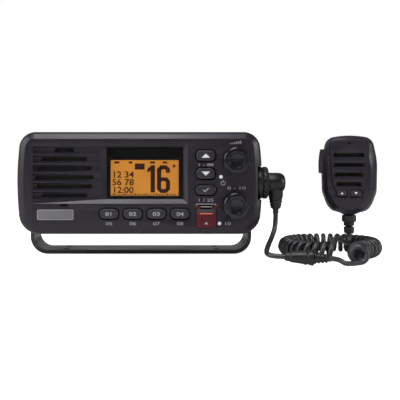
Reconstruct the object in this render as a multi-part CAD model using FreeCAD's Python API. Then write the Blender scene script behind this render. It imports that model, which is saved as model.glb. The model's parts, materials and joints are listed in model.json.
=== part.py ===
"""Fixed-mount marine radio with a U bracket and a microphone on a curly cord.

Millimetres. The origin is the centre of the bracket's underside, +Z is up and the panel faces -Y.
"""
import FreeCAD, Part
import math
import os

V = FreeCAD.Vector
X_AXIS = V(1, 0, 0)
Y_AXIS = V(0, 1, 0)
Z_AXIS = V(0, 0, 1)
ORIGIN = V(0, 0, 0)

# Radio panel
panel_width = 178.0
panel_height = 74.2
panel_depth = 28.5
panel_back_y = -30.0
top_corner_radius = 12.0
bottom_corner_radius = 15.0
side_bow_radius = 240.0
bevel_inset = 5.0
bevel_depth = 4.5
edge_inset = 1.4
edge_depth = 2.4
face_wall = 4.5
side_wall = 4.5
flange_wall = 2.2
flange_thickness = 3.0
gasket_thickness = 1.2
gasket_width = 3.0
pivot_height = 56.0

# Clearances
slide_gap = 0.3
seat_gap = 0.1
running_gap = 0.05

# Grille and display field
field_left_inset = 12.0
field_right_x = 34.8
field_top = 28.8
field_bottom = -14.8
field_depth = 2.6
field_slope = 3.2
grille_width = 48.0
grille_lines = 6
grille_pitch = 6.56
grille_top = 21.2
groove_depth = 2.9
groove_shelf = 1.2
groove_rise = 5.4
slot_height = 2.7
speaker_x = -54.6
speaker_z = 4.2
speaker_opening_radius = 20.9
speaker_radius = 23.0
speaker_depth = 17.0
mesh_thickness = 0.5
vent_width = 5.6
vent_height = 1.2
vent_z = -16.3
lens_x = 3.9
lens_z = 7.4
lens_width = 55.2
lens_height = 37.2
lens_lip = 1.5
lens_lip_thickness = 1.0
lens_sink = 0.4
lcd_width = 52.0
lcd_height = 32.0
lcd_z = 4.2

# Keys
key_travel = 0.8
key_proud = 1.1
key_gap = 0.9
key_corner = 3.2
key_flange = 0.8
key_flange_thickness = 0.9
row_key_width = 13.5
row_key_height = 7.2
row_key_z = -22.1
row_key_first_x = -22.0
row_key_pitch = 17.1
channel_key_width = 13.7
channel_key_height = 7.7
channel_key_x = 47.8
channel_up_z = 19.9
channel_down_z = 7.0
enter_key_width = 14.6
enter_key_height = 6.8
enter_key_z = -5.0
mat_thickness = 1.5
mat_margin = 3.0
board_thickness = 1.6

# Distress cover
cover_x = 48.1
cover_width = 14.2
cover_bottom = -32.2
cover_shoulder = -22.4
cover_gap = 0.35
cover_proud = 1.5
cover_wall = 1.2
hinge_z = -17.1
hinge_sink = 1.5
hinge_radius = 1.3
hinge_pin_radius = 0.5
pocket_depth = 3.0
pocket_top = -15.4
distress_key_width = 8.6
distress_key_height = 6.6
distress_key_z = -27.4

# Knobs
knob_from_edge = 19.9
volume_z = 16.5
squelch_z = -15.6
knob_radius = 9.8
knob_tip_radius = 9.3
knob_length = 12.0
knob_lobes = 7
knob_standoff = 0.9
dish_radius = 5.6
dish_depth = 1.1
shaft_radius = 3.0
bush_radius = 4.2
encoder_size = 12.0

# Name plate
plate_width = 26.4
plate_height = 7.6
plate_x = -60.8
plate_z = -22.8
plate_thickness = 0.9
plate_sink = 0.5

# Rear chassis
chassis_width = 156.0
chassis_height = 66.0
chassis_depth = 74.0
chassis_wall = 4.0
chassis_corner = 6.0
fin_length = 12.0
fin_width = 58.0
fin_thickness = 2.6
fin_pitch = 8.4
pivot_boss_radius = 12.0
pivot_boss_height = 2.5
washer_thickness = 1.8
insert_radius = 5.0
insert_length = 9.0
screw_radius = 1.4
screw_head_radius = 2.6
screw_head_height = 1.8
screw_length = 12.0
screw_x = 80.8
screw_z = 26.0

# Main board
main_board_side_gap = 12.0
main_board_front_gap = 6.0
main_board_back_gap = 2.0
main_board_rise = 5.0
shield_height = 7.0
power_stage_height = 10.0
capacitor_radius = 4.0
capacitor_height = 12.0

# Sockets at the back
antenna_x = -52.0
antenna_z = 14.0
antenna_thread_radius = 7.9
antenna_length = 14.0
antenna_flange = 24.0
antenna_flange_thickness = 2.0
antenna_bore_radius = 2.3
power_x = 50.0
power_z = -14.0
power_width = 20.0
power_height = 12.0
power_length = 9.0
power_wall = 1.6
power_pin_radius = 1.5

# Bracket
bracket_depth = 34.0
strap_thickness = 3.0
bracket_bend_radius = 13.5
arm_end_radius = 17.0
arm_gap = 0.3
mount_hole_radius = 2.6
mount_spacing_x = 117.0
mount_spacing_y = 18.0
clamp_radius = 14.0
clamp_tip_radius = 13.4
clamp_length = 7.6
clamp_lobes = 6
clamp_screw_radius = 2.9
clamp_screw_length = 14.0
arm_hole_radius = 3.25

# Microphone socket and plug on the right side
socket_y = -46.0
socket_radius = 8.0
socket_collar_radius = 12.0
socket_notch_depth = 3.4
socket_reach = 0.8
socket_nose_radius = 6.6
socket_nose_length = 3.2
ring_radius = 11.8
ring_ribs = 18
ring_length = 3.8
plug_radius = 7.4
plug_reach = 12.7
plug_pin_radius = 4.4
plug_drop_radius = 5.4
plug_drop_tip_radius = 4.75
plug_drop_x = 100.1
plug_drop_below_pivot = 12.8
plug_drop_root = 9.0
boot_shoulder_below_pivot = 18.4
boot_ribs = 2
boot_rib_groove = 0.45
boot_tip_radius = 3.8
boot_neck_radius = 2.1
boot_end_below_pivot = 22.6
socket_tail_length = 10.0
socket_tail_taper = 2.0
socket_bore_depth = 6.0

# Cord
cord_diameter = 3.6
coupler_start = V(101.0, -81.5, 5.95)
coupler_end = V(131.0, -84.6, 5.15)
coupler_radius = 4.15
collar_radius = 5.4
coupler_boot_radius = 4.25
curl_radius = 5.45
curl_pitch = 5.45
curl_sides = 6
link_lead_in = 6.4
tail_lead_out = 6.0
mic_x = 157.3
mic_y = -33.0
mic_boot_z = 17.3
mic_boot_head_z = 26.5
mic_boot_groove_z = 23.4

# Microphone
mic_yaw = -13.0
mic_half_width = 20.4
mic_top = 91.1
mic_bottom = 31.2
mic_front_depth = 14.0
mic_rear_depth = 14.0
mic_split = 2.0
mic_wall = 2.2
mic_shoulder_drop = 19.0
mic_shoulder_inset = 3.6
mic_chin_rise = 13.3
mic_chin_half_width = 9.0
mic_plate_height = 1.6
mic_slots = 4
mic_slot_widths = [21.0, 20.8, 19.2, 17.2]
mic_slot_pitch = 7.15
mic_slot_from_top = 13.2
mic_slot_height = 3.0
mic_hole_radius = 0.7
mic_hole_from_top = 6.0
mic_seam_from_top = 41.7
mic_seam_rise = 3.2
mic_seam_width = 0.5
mic_seam_depth = 0.35
talk_width = 7.6
talk_height = 18.0
talk_from_top = 19.3
talk_y = -3.4
talk_proud = 2.1
talk_travel = 1.5
mic_key_from_top = 42.8
mic_key_x = 5.0
mic_key_width = 7.8
mic_key_height = 5.0
stud_radius = 6.0
stud_neck_radius = 3.0
stud_length = 5.5
mic_screw_x = 8.0
mic_screw_length = 5.0
mic_screw_from_top = 14.0
mic_screw_from_bottom = 12.8
mic_post_radius = 3.0
mic_speaker_radius = 13.0
mic_speaker_height = 4.6
mic_capsule_radius = 2.4
mic_capsule_from_top = 9.1
mic_board_half_width = 13.0
mic_board_from_top = 8.0
mic_board_from_bottom = 14.0
mic_board_thickness = 1.2

# Values that follow from the sizes above
half_width = panel_width / 2
half_height = panel_height / 2
face_y = panel_back_y - panel_depth
rim_y = face_y + bevel_depth
inner_y = face_y + face_wall
ledge_y = panel_back_y - flange_thickness - gasket_thickness
field_y = face_y + field_depth
half_chassis = chassis_width / 2
chassis_back_y = panel_back_y + chassis_depth
boss_x = half_chassis + pivot_boss_height
arm_inner_x = boss_x + washer_thickness + arm_gap
arm_outer_x = arm_inner_x + strap_thickness
knob_x = half_width - knob_from_edge
flange_y = inner_y + slide_gap
mat_y = flange_y + key_flange_thickness + key_travel + slide_gap
board_y = mat_y + mat_thickness
socket_face_x = half_width + socket_reach
notch_x = half_width - socket_notch_depth
cord_radius = cord_diameter / 2
coupler_axis = (coupler_end - coupler_start).normalize()
mic_slot_top = mic_top - mic_slot_from_top
mic_key_z = mic_top - mic_key_from_top
mic_seam_z = mic_top - mic_seam_from_top
plug_drop_bottom = pivot_height - plug_drop_below_pivot
boot_shoulder_z = pivot_height - boot_shoulder_below_pivot
boot_end_z = pivot_height - boot_end_below_pivot
talk_z = mic_top - talk_from_top
talk_flange_x = mic_wall + 3.2 - mic_half_width
stud_z = (mic_top + mic_bottom) / 2 + 4.85

# Route of the lead, from the elbow plug to the in-line coupler
lead_points = [
    V(plug_drop_x, socket_y, boot_end_z),
    V(plug_drop_x, socket_y, 24.2),
    V(96.6, -52.0, 16.8),
    V(92.4, -60.3, 11.0),
    V(90.1, -68.6, 7.9),
    V(90.1, -76.3, 6.6),
    coupler_start - coupler_axis * 6.6,
    coupler_start,
]

# Last part of the tail's route, into the boot of the microphone
tail_points = [
    V(146.5, -50.5, 14.9),
    V(151.8, -42.5, 12.0),
    V(155.9, -36.0, 10.2),
    V(mic_x, mic_y, 13.1),
    V(mic_x, mic_y, mic_boot_z),
]

# Line that the curls go round
curl_axis_points = [
    V(152.8, -82.5, 7.3),
    V(153.6, -69.0, 7.3),
    V(160.4, -55.5, 7.3),
    V(171.5, -44.5, 7.3),
    V(176.3, -30.0, 7.3),
    V(171.0, -13.5, 7.3),
    V(159.5, -2.5, 7.3),
    V(143.0, 0.8, 7.3),
    V(126.5, -3.5, 7.3),
    V(114.5, -15.5, 7.3),
    V(110.6, -32.0, 7.3),
    V(114.8, -49.0, 7.3),
    V(126.0, -61.0, 7.3),
    V(138.0, -65.0, 7.3),
]

parts = {}


def panel_z(offset):
    """Height of a feature given from the middle of the panel."""
    return pivot_height + offset


def box(x0, x1, y0, y1, z0, z1):
    return Part.makeBox(x1 - x0, y1 - y0, z1 - z0, V(x0, y0, z0))


def rounded_wire(corners):
    """Closed wire of straight lines and tangent arcs through corners given as (point, radius)."""
    starts = []
    ends = []
    mids = []
    count = len(corners)
    for i, (point, radius) in enumerate(corners):
        to_last = (corners[i - 1][0] - point).normalize()
        to_next = (corners[(i + 1) % count][0] - point).normalize()
        if radius <= 0:
            starts.append(point)
            ends.append(point)
            mids.append(None)
            continue
        half = to_last.getAngle(to_next) / 2
        cut = radius / math.tan(half)
        middle = (to_last + to_next).normalize()
        starts.append(point + to_last * cut)
        ends.append(point + to_next * cut)
        mids.append(point + middle * (radius / math.sin(half) - radius))
    edges = []
    for i in range(count):
        if mids[i] is not None:
            edges.append(Part.Arc(starts[i], mids[i], ends[i]).toShape())
        following = starts[(i + 1) % count]
        if ends[i].distanceToPoint(following) > 1e-4:
            edges.append(Part.makeLine(ends[i], following))
    return Part.Wire(edges)


def front_wire(cx, cz, width, height, radius, y):
    """Rounded rectangle in a plane of constant Y."""
    w = width / 2
    h = height / 2
    corners = [V(cx - w, y, cz - h), V(cx + w, y, cz - h), V(cx + w, y, cz + h), V(cx - w, y, cz + h)]
    return rounded_wire([(p, radius) for p in corners])


def prism(wire, direction):
    return Part.Face(wire).extrude(direction)


def front_plate(cx, cz, width, height, radius, y0, y1):
    """Plate with rounded corners between two planes of constant Y."""
    return prism(front_wire(cx, cz, width, height, radius, y0), V(0, y1 - y0, 0))


def ruled(wires):
    return Part.makeLoft(wires, True, True)


def turned(profile, start, direction):
    """Solid of revolution: profile is a list of (distance along the axis, radius)."""
    first = V(profile[0][0], 0, 0)
    last = V(profile[-1][0], 0, 0)
    points = [first] + [V(a, 0, r) for a, r in profile] + [last, first]
    solid = Part.Face(Part.makePolygon(points)).revolve(ORIGIN, X_AXIS, 360)
    solid.Placement = FreeCAD.Placement(start, FreeCAD.Rotation(X_AXIS, direction))
    return solid


def aimed(shape, start, direction):
    """Shape drawn along +Z, moved to start and turned to direction."""
    shape.Placement = FreeCAD.Placement(start, FreeCAD.Rotation(Z_AXIS, direction))
    return shape


def lobed_knob(base_radius, tip_radius, length, lobes):
    """Tapered grip with shallow scoops, drawn along +Z."""
    scoop_radius = base_radius * 0.95
    scoop_centre = base_radius + scoop_radius - base_radius * 0.11
    edge = base_radius * 0.08
    body = Part.makeCone(base_radius, tip_radius, length - edge)
    body = body.fuse(Part.makeCone(tip_radius, tip_radius - edge, edge, V(0, 0, length - edge)))
    for i in range(lobes):
        angle = 2 * math.pi * (i + 0.5) / lobes
        centre = V(scoop_centre * math.cos(angle), scoop_centre * math.sin(angle), -1)
        body = body.cut(Part.makeCylinder(scoop_radius, length + 2, centre))
    return body.removeSplitter()


def panel_wire(inset, y):
    """Outline of the panel: straight top and bottom, bowed sides and round corners, offset inwards."""
    side = side_bow_radius - inset
    bow_x = half_width - side_bow_radius
    top = half_height - inset
    right = {}
    for name, radius, sign in (("top", top_corner_radius, 1), ("bottom", bottom_corner_radius, -1)):
        r = radius - inset
        dz = top - r
        cx = bow_x + math.sqrt((side - r) ** 2 - dz ** 2)
        lean = math.atan2(dz, cx - bow_x)
        tangent = (cx + r * math.cos(lean), sign * (dz + r * math.sin(lean)))
        half = (lean + math.pi / 2) / 2
        middle = (cx + r * math.cos(half), sign * (dz + r * math.sin(half)))
        right[name] = (tangent, middle, (cx, sign * top))

    def at(point, mirror):
        return V(point[0] * mirror, y, pivot_height + point[1])

    t_side, t_mid, t_flat = right["top"]
    b_side, b_mid, b_flat = right["bottom"]
    edges = [
        Part.makeLine(at(t_flat, -1), at(t_flat, 1)),
        Part.Arc(at(t_flat, 1), at(t_mid, 1), at(t_side, 1)).toShape(),
        Part.Arc(at(t_side, 1), at((bow_x + side, 0), 1), at(b_side, 1)).toShape(),
        Part.Arc(at(b_side, 1), at(b_mid, 1), at(b_flat, 1)).toShape(),
        Part.makeLine(at(b_flat, 1), at(b_flat, -1)),
        Part.Arc(at(b_flat, -1), at(b_mid, -1), at(b_side, -1)).toShape(),
        Part.Arc(at(b_side, -1), at((bow_x + side, 0), -1), at(t_side, -1)).toShape(),
        Part.Arc(at(t_side, -1), at(t_mid, -1), at(t_flat, -1)).toShape(),
    ]
    return Part.Wire(edges)


def panel_plate(inset, y0, y1):
    return prism(panel_wire(inset, y0), V(0, y1 - y0, 0))


def field_cut():
    """Sloping field of the grille and the display, deepest round the window."""
    left = -half_width + field_left_inset
    lens_left = lens_x - lens_width / 2 - 1
    shallow = 0.04
    stations = [
        (left, shallow),
        (lens_left, field_depth),
        (field_right_x - field_slope, field_depth),
        (field_right_x, shallow),
    ]
    wires = []
    for x, depth in stations:
        slope = field_slope * depth / field_depth
        low = panel_z(field_bottom)
        high = panel_z(field_top)
        corners = [
            V(x, face_y - 1, low),
            V(x, face_y, low),
            V(x, face_y + depth, low + slope),
            V(x, face_y + depth, high - slope),
            V(x, face_y, high),
            V(x, face_y - 1, high),
        ]
        wires.append(Part.makePolygon(corners + corners[:1]))
    return ruled(wires)


def grille_cuts():
    """Louvre grooves with a lit shelf below each and a slot at the bottom of each groove."""
    left = -half_width + field_left_inset
    cuts = []
    for line in range(grille_lines):
        low = panel_z(grille_top - line * grille_pitch)
        corners = [
            V(left, face_y - 1, low - 0.4),
            V(left, face_y + groove_depth, low + groove_shelf),
            V(left, face_y + groove_depth, low + groove_rise - 1),
            V(left, face_y - 1, low + groove_rise + 0.3),
        ]
        cuts.append(prism(Part.makePolygon(corners + corners[:1]), V(grille_width, 0, 0)))
        slot_low = low + groove_shelf + 0.2
        rise = slot_low + slot_height / 2 - panel_z(speaker_z)
        half = math.sqrt(speaker_opening_radius ** 2 - rise ** 2)
        cuts.append(box(speaker_x - half, speaker_x + half, face_y, inner_y + 1, slot_low,
                        slot_low + slot_height))
    vent = panel_z(vent_z)
    half_vent = vent_width / 2
    cuts.append(box(speaker_x - half_vent, speaker_x + half_vent, face_y - 1, inner_y + 1, vent,
                    vent + vent_height))
    return cuts


def row_key_x(index):
    return row_key_first_x + index * row_key_pitch


KEYS = {
    "call_key": (row_key_x(0), row_key_z, row_key_width, row_key_height),
    "weather_key": (row_key_x(1), row_key_z, row_key_width, row_key_height),
    "clear_key": (row_key_x(2), row_key_z, row_key_width, row_key_height),
    "quick_channel_key": (row_key_x(3), row_key_z, row_key_width, row_key_height),
    "channel_up_key": (channel_key_x, channel_up_z, channel_key_width, channel_key_height),
    "channel_down_key": (channel_key_x, channel_down_z, channel_key_width, channel_key_height),
    "enter_key": (channel_key_x, enter_key_z, enter_key_width, enter_key_height),
}


def pocket_size():
    """Middle and height of the pocket that the distress cover closes into."""
    low = cover_bottom - cover_gap
    return (low + pocket_top) / 2, pocket_top - low


def build_front_housing():
    outer = ruled([
        panel_wire(0.8, panel_back_y),
        panel_wire(0, panel_back_y - 1.5),
        panel_wire(0, rim_y),
        panel_wire(edge_inset, rim_y - edge_depth),
        panel_wire(bevel_inset, face_y),
    ])
    shell = outer.cut(panel_plate(side_wall, inner_y, ledge_y))
    shell = shell.cut(panel_plate(flange_wall, ledge_y, panel_back_y + 1))
    posts = []
    holes = []
    for sx in (-1, 1):
        for sz in (-1, 1):
            base = V(sx * screw_x, inner_y, panel_z(sz * screw_z))
            posts.append(Part.makeCylinder(3.4, ledge_y - inner_y, base, Y_AXIS))
            holes.append(Part.makeCylinder(screw_radius + running_gap, 14, base + V(0, 8, 0), Y_AXIS))
    shell = shell.fuse(posts)
    cuts = holes + [field_cut()] + grille_cuts()
    window = front_plate(lens_x, panel_z(lens_z), lens_width + 2 * seat_gap, lens_height + 2 * seat_gap, 1.0,
                         face_y, inner_y + 1)
    cuts.append(window)
    for x, z, width, height in KEYS.values():
        well = front_plate(x, panel_z(z), width + 2 * key_gap, height + 2 * key_gap, key_corner + key_gap,
                           face_y - 1, inner_y + 1)
        cuts.append(well)
    pocket_mid, pocket_height = pocket_size()
    cuts.append(front_plate(cover_x, panel_z(pocket_mid), cover_width + 2 * cover_gap, pocket_height, 0.8,
                            face_y - 1, face_y + pocket_depth))
    cuts.append(front_plate(cover_x, panel_z(distress_key_z), distress_key_width + 2 * slide_gap,
                            distress_key_height + 2 * slide_gap, 1.5, face_y, inner_y + 1))
    pin_half = cover_width / 2 + cover_gap + 1.2
    cuts.append(Part.makeCylinder(hinge_pin_radius, 2 * pin_half,
                                  V(cover_x - pin_half, face_y + hinge_sink, panel_z(hinge_z)), X_AXIS))
    for z in (volume_z, squelch_z):
        cuts.append(Part.makeCylinder(bush_radius + seat_gap, face_wall + 2,
                                      V(knob_x, face_y - 1, panel_z(z)), Y_AXIS))
    cuts.append(front_plate(plate_x, panel_z(plate_z), plate_width + 2 * seat_gap,
                            plate_height + 2 * seat_gap, 1.2,
                            face_y - 1, face_y + plate_sink))
    cuts.append(Part.makeCylinder(socket_radius + seat_gap, 20,
                                  V(half_width - 14, socket_y, pivot_height), X_AXIS))
    notch_radius = socket_collar_radius + slide_gap
    cuts.append(Part.makeCylinder(notch_radius, 10, V(notch_x, socket_y, pivot_height), X_AXIS))
    cuts.append(box(notch_x, half_width + 1, face_y - 1, socket_y, pivot_height - notch_radius,
                    pivot_height + notch_radius))
    parts["front_housing"] = shell.cut(cuts).removeSplitter()


def build_display():
    lip_y = inner_y + lens_lip_thickness
    pane = front_plate(lens_x, panel_z(lens_z), lens_width, lens_height, 0.9, field_y - lens_sink, lip_y)
    lip = front_plate(lens_x, panel_z(lens_z), lens_width + 2 * lens_lip, lens_height + 2 * lens_lip, 1.5,
                      inner_y, lip_y)
    parts["display_lens"] = pane.fuse(lip).removeSplitter()
    parts["lcd_panel"] = front_plate(lens_x, panel_z(lcd_z), lcd_width, lcd_height, 0.6, lip_y + 0.2,
                                     board_y)


def build_keys():
    """Key caps with a flange behind the panel, so that each is trapped in its well."""
    for name, (x, z, width, height) in KEYS.items():
        z = panel_z(z)
        tip = front_wire(x, z, width - 1.0, height - 1.0, key_corner - 0.5, face_y - key_proud)
        shoulder = front_wire(x, z, width, height, key_corner, face_y - key_proud + 0.5)
        foot = front_wire(x, z, width, height, key_corner, flange_y)
        flange = front_plate(x, z, width + 2 * (key_gap + key_flange), height + 2 * (key_gap + key_flange),
                             key_corner, flange_y, flange_y + key_flange_thickness)
        parts[name] = ruled([tip, shoulder, foot]).fuse(flange).removeSplitter()


def build_key_mat():
    """One rubber mat under all the keys: a row and a column that meet at the corner."""
    row_low = panel_z(row_key_z) - row_key_height / 2 - mat_margin
    row_high = panel_z(row_key_z) + row_key_height / 2 + 1.6
    row_left = row_key_x(0) - row_key_width / 2 - mat_margin
    column_left = channel_key_x - channel_key_width / 2 - 1.6
    column_right = channel_key_x + channel_key_width / 2 + mat_margin
    column_high = panel_z(channel_up_z) + channel_key_height / 2 + mat_margin
    row = box(row_left, column_right, mat_y, board_y, row_low, row_high)
    column = box(column_left, column_right, mat_y, board_y, row_low - 3, column_high)
    mat = row.fuse(column)
    centres = [(x, z) for x, z, width, height in KEYS.values()] + [(cover_x, distress_key_z)]
    for x, z in centres:
        dome = Part.makeCone(2.4, 2.0, slide_gap - 0.05, V(x, mat_y, panel_z(z)), V(0, -1, 0))
        mat = mat.fuse(dome)
    parts["key_mat"] = mat.removeSplitter()


def build_front_board():
    right = half_width - side_wall - 5
    top = half_height - side_wall - 4
    left = lens_x - lens_width / 2 - 3
    board = box(left, right, board_y, board_y + board_thickness, panel_z(-top), panel_z(top))
    parts["front_board"] = board.cut(
        [Part.makeCylinder(3.8, 8, V(screw_x, board_y - 3, panel_z(s * screw_z)), Y_AXIS) for s in (-1, 1)]
    )


def build_distress():
    """Sprung cover on a hinge pin, with the button that it guards."""
    hinge_y = face_y + hinge_sink
    top = panel_z(hinge_z)
    front = face_y - cover_proud
    low = panel_z(cover_bottom)
    shoulder = panel_z(cover_shoulder)
    x0 = cover_x - cover_width / 2
    profile = [
        V(x0, front + 0.6, low),
        V(x0, front, low + 0.6),
        V(x0, front, shoulder),
        V(x0, face_y + 0.3, top - 1.6),
        V(x0, face_y + 0.3, top),
        V(x0, hinge_y + 0.6, top),
        V(x0, hinge_y + 0.6, top - 1.8),
        V(x0, front + cover_wall, shoulder - 0.6),
        V(x0, front + cover_wall, low + cover_wall),
        V(x0, face_y + 1.0, low + cover_wall),
        V(x0, face_y + 1.0, low),
    ]
    flap = prism(Part.makePolygon(profile + profile[:1]), V(cover_width, 0, 0))
    barrel = Part.makeCylinder(hinge_radius, cover_width, V(x0, hinge_y, top), X_AXIS)
    notch = box(cover_x - 4, cover_x + 4, face_y - 3, face_y + 4, top - 2.8, top + 2)
    cover = flap.fuse(barrel).cut(notch)
    bore = Part.makeCylinder(hinge_pin_radius + running_gap, cover_width + 2, V(x0 - 1, hinge_y, top),
                             X_AXIS)
    parts["distress_cover"] = cover.cut(bore).removeSplitter()
    pin_half = cover_width / 2 + cover_gap + 1.2
    parts["cover_hinge_pin"] = Part.makeCylinder(hinge_pin_radius, 2 * pin_half,
                                                 V(cover_x - pin_half, hinge_y, top), X_AXIS)
    cap = front_plate(cover_x, panel_z(distress_key_z), distress_key_width, distress_key_height, 1.3,
                      face_y + 1.2, flange_y)
    flange = front_plate(cover_x, panel_z(distress_key_z), distress_key_width + 2.2,
                         distress_key_height + 2.2, 1.5,
                         flange_y, flange_y + key_flange_thickness)
    parts["distress_button"] = cap.fuse(flange).removeSplitter()


def build_control(name, z):
    """Rotary control: encoder with its threaded bush, shaft and lobed knob."""
    z = panel_z(z)
    half = encoder_size / 2
    bush_front = face_y - 0.6
    case = box(knob_x - half, knob_x + half, inner_y + 0.2, board_y, z - half, z + half)
    bush = Part.makeCylinder(bush_radius, inner_y + 0.2 - bush_front, V(knob_x, bush_front, z), Y_AXIS)
    bore_end = board_y - 1.2
    bore = Part.makeCylinder(shaft_radius + running_gap, bore_end - bush_front + 1,
                             V(knob_x, bush_front - 1, z), Y_AXIS)
    parts[name + "_encoder"] = case.fuse(bush).cut(bore).removeSplitter()

    back = face_y - knob_standoff
    tip = back - knob_length
    shaft_tip = tip + 3.5
    shaft = Part.makeCylinder(shaft_radius, bore_end - slide_gap - shaft_tip, V(knob_x, shaft_tip, z),
                              Y_AXIS)
    flat = box(knob_x - shaft_radius, knob_x + shaft_radius, shaft_tip, back, z + shaft_radius - 1.2,
               z + shaft_radius)
    parts[name + "_shaft"] = shaft.cut(flat)

    grip = lobed_knob(knob_radius, knob_tip_radius, knob_length, knob_lobes)
    dish = Part.makeCone(dish_radius - 0.7, dish_radius, dish_depth, V(0, 0, knob_length - dish_depth))
    socket = Part.makeCylinder(shaft_radius, back - shaft_tip)
    relief = Part.makeCylinder(bush_radius + 1.6, 1.0)
    grip = aimed(grip.cut([dish, socket, relief]), V(knob_x, back, z), V(0, -1, 0))
    key = box(knob_x - shaft_radius, knob_x + shaft_radius, shaft_tip, back - 1.0,
              z + shaft_radius - 1.2, z + shaft_radius)
    key = key.common(Part.makeCylinder(shaft_radius, knob_length, V(knob_x, tip, z), Y_AXIS))
    parts[name + "_knob"] = grip.fuse(key).removeSplitter()


def build_name_plate():
    back = face_y + plate_sink
    front = back - plate_thickness
    base = front_wire(plate_x, panel_z(plate_z), plate_width, plate_height, 1.1, back)
    edge = front_wire(plate_x, panel_z(plate_z), plate_width, plate_height, 1.1, front + 0.3)
    tip = front_wire(plate_x, panel_z(plate_z), plate_width - 0.6, plate_height - 0.6, 0.8, front)
    parts["name_plate"] = ruled([tip, edge, base])


def build_speaker():
    centre = V(speaker_x, inner_y + mesh_thickness, panel_z(speaker_z))
    mesh = Part.makeCylinder(speaker_radius, mesh_thickness, centre - V(0, mesh_thickness, 0), Y_AXIS)
    parts["grille_mesh"] = mesh
    basket = turned([
        (0.0, speaker_radius),
        (2.0, speaker_radius),
        (3.0, speaker_radius - 2.5),
        (9.0, speaker_radius * 0.6),
        (9.0, speaker_radius * 0.65),
        (speaker_depth, speaker_radius * 0.65),
    ], centre, Y_AXIS)
    cone = turned([
        (-1.0, speaker_radius - 2.0),
        (0.5, speaker_radius - 2.5),
        (6.5, 6.0),
        (7.5, 5.0),
    ], centre, Y_AXIS)
    parts["speaker"] = basket.cut(cone)


def build_chassis():
    """Cast rear chassis with a flange, a hollow for the main board and cooling fins."""
    mid = pivot_height
    body = front_plate(0, mid, chassis_width, chassis_height, chassis_corner, panel_back_y - 1,
                       chassis_back_y)
    flange = panel_plate(flange_wall + slide_gap, panel_back_y - flange_thickness, panel_back_y)
    fins = []
    count = int(fin_width / 2 // fin_pitch)
    low = mid - chassis_height / 2 + 3
    for i in range(-count, count + 1):
        x = i * fin_pitch
        fins.append(box(x - fin_thickness / 2, x + fin_thickness / 2, chassis_back_y - 1,
                        chassis_back_y + fin_length, low, 2 * mid - low))
    casting = body.fuse([flange] + fins)
    for side in (-1, 1):
        boss = Part.makeCylinder(pivot_boss_radius, pivot_boss_height, V(side * half_chassis, 0, mid),
                                 V(side, 0, 0))
        inner = Part.makeCylinder(pivot_boss_radius - 2, insert_length, V(side * half_chassis, 0, mid),
                                  V(-side, 0, 0))
        casting = casting.fuse([boss, inner])
    inside = front_plate(0, mid, chassis_width - 2 * chassis_wall, chassis_height - 2 * chassis_wall,
                         chassis_corner - 2, panel_back_y - flange_thickness - 1,
                         chassis_back_y - chassis_wall)
    posts = []
    for sx in (-1, 1):
        for y in (-16, 30):
            posts.append(Part.makeCylinder(3, 5, V(sx * 52, y, mid - chassis_height / 2 + chassis_wall),
                                           Z_AXIS))
    inner_bosses = []
    for side in (-1, 1):
        start = V(side * (half_chassis - chassis_wall), 0, mid)
        inner_bosses.append(Part.makeCylinder(pivot_boss_radius - 3, insert_length - chassis_wall,
                                              start, V(-side, 0, 0)))
    casting = casting.cut(inside).fuse(posts + inner_bosses)
    holes = []
    for side in (-1, 1):
        holes.append(Part.makeCylinder(insert_radius, insert_length + pivot_boss_height + 1,
                                       V(side * (boss_x + 1), 0, mid), V(-side, 0, 0)))
        for sz in (-1, 1):
            holes.append(Part.makeCylinder(screw_radius + seat_gap, 12,
                                           V(side * screw_x, panel_back_y - 8,
                                             panel_z(sz * screw_z)), Y_AXIS))
    holes.append(Part.makeCylinder(4.2, chassis_wall + 2, V(antenna_x, chassis_back_y - chassis_wall - 1,
                                                            panel_z(antenna_z)), Y_AXIS))
    parts["rear_chassis"] = casting.cut(holes).removeSplitter()

    ring = panel_plate(side_wall + 1.4 - gasket_width, ledge_y, ledge_y + gasket_thickness)
    ring = ring.cut(panel_plate(side_wall + 1.4, ledge_y - 1, ledge_y + gasket_thickness + 1))
    eyes = []
    clear = []
    for sx in (-1, 1):
        for sz in (-1, 1):
            at = V(sx * screw_x, ledge_y, panel_z(sz * screw_z))
            eyes.append(Part.makeCylinder(3.0, gasket_thickness, at, Y_AXIS))
            clear.append(Part.makeCylinder(screw_radius + 0.2, 4, at - V(0, 1, 0), Y_AXIS))
    parts["housing_gasket"] = ring.fuse(eyes).cut(clear).removeSplitter()

    inserts = []
    washers = []
    for side in (-1, 1):
        insert = Part.makeCylinder(insert_radius, insert_length, V(side * boss_x, 0, mid), V(-side, 0, 0))
        bore = Part.makeCylinder(clamp_screw_radius + running_gap, insert_length + 2,
                                 V(side * (boss_x + 1), 0, mid), V(-side, 0, 0))
        inserts.append(insert.cut(bore))
        washer = Part.makeCylinder(pivot_boss_radius - 0.5, washer_thickness, V(side * boss_x, 0, mid),
                                   V(side, 0, 0))
        hole = Part.makeCylinder(arm_hole_radius, washer_thickness + 2, V(side * (boss_x - 1), 0, mid),
                                 V(side, 0, 0))
        washers.append(washer.cut(hole))
    parts["pivot_inserts"] = Part.makeCompound(inserts)
    parts["pivot_washers"] = Part.makeCompound(washers)

    screws = []
    for sx in (-1, 1):
        for sz in (-1, 1):
            at = V(sx * screw_x, panel_back_y, panel_z(sz * screw_z))
            screws.append(turned([
                (-screw_length, screw_radius - 0.5),
                (-screw_length + 0.8, screw_radius),
                (0.0, screw_radius),
                (0.0, screw_head_radius),
                (screw_head_height * 0.6, screw_head_radius),
                (screw_head_height, screw_head_radius * 0.6),
            ], at, Y_AXIS))
    parts["chassis_screws"] = Part.makeCompound(screws)


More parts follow.
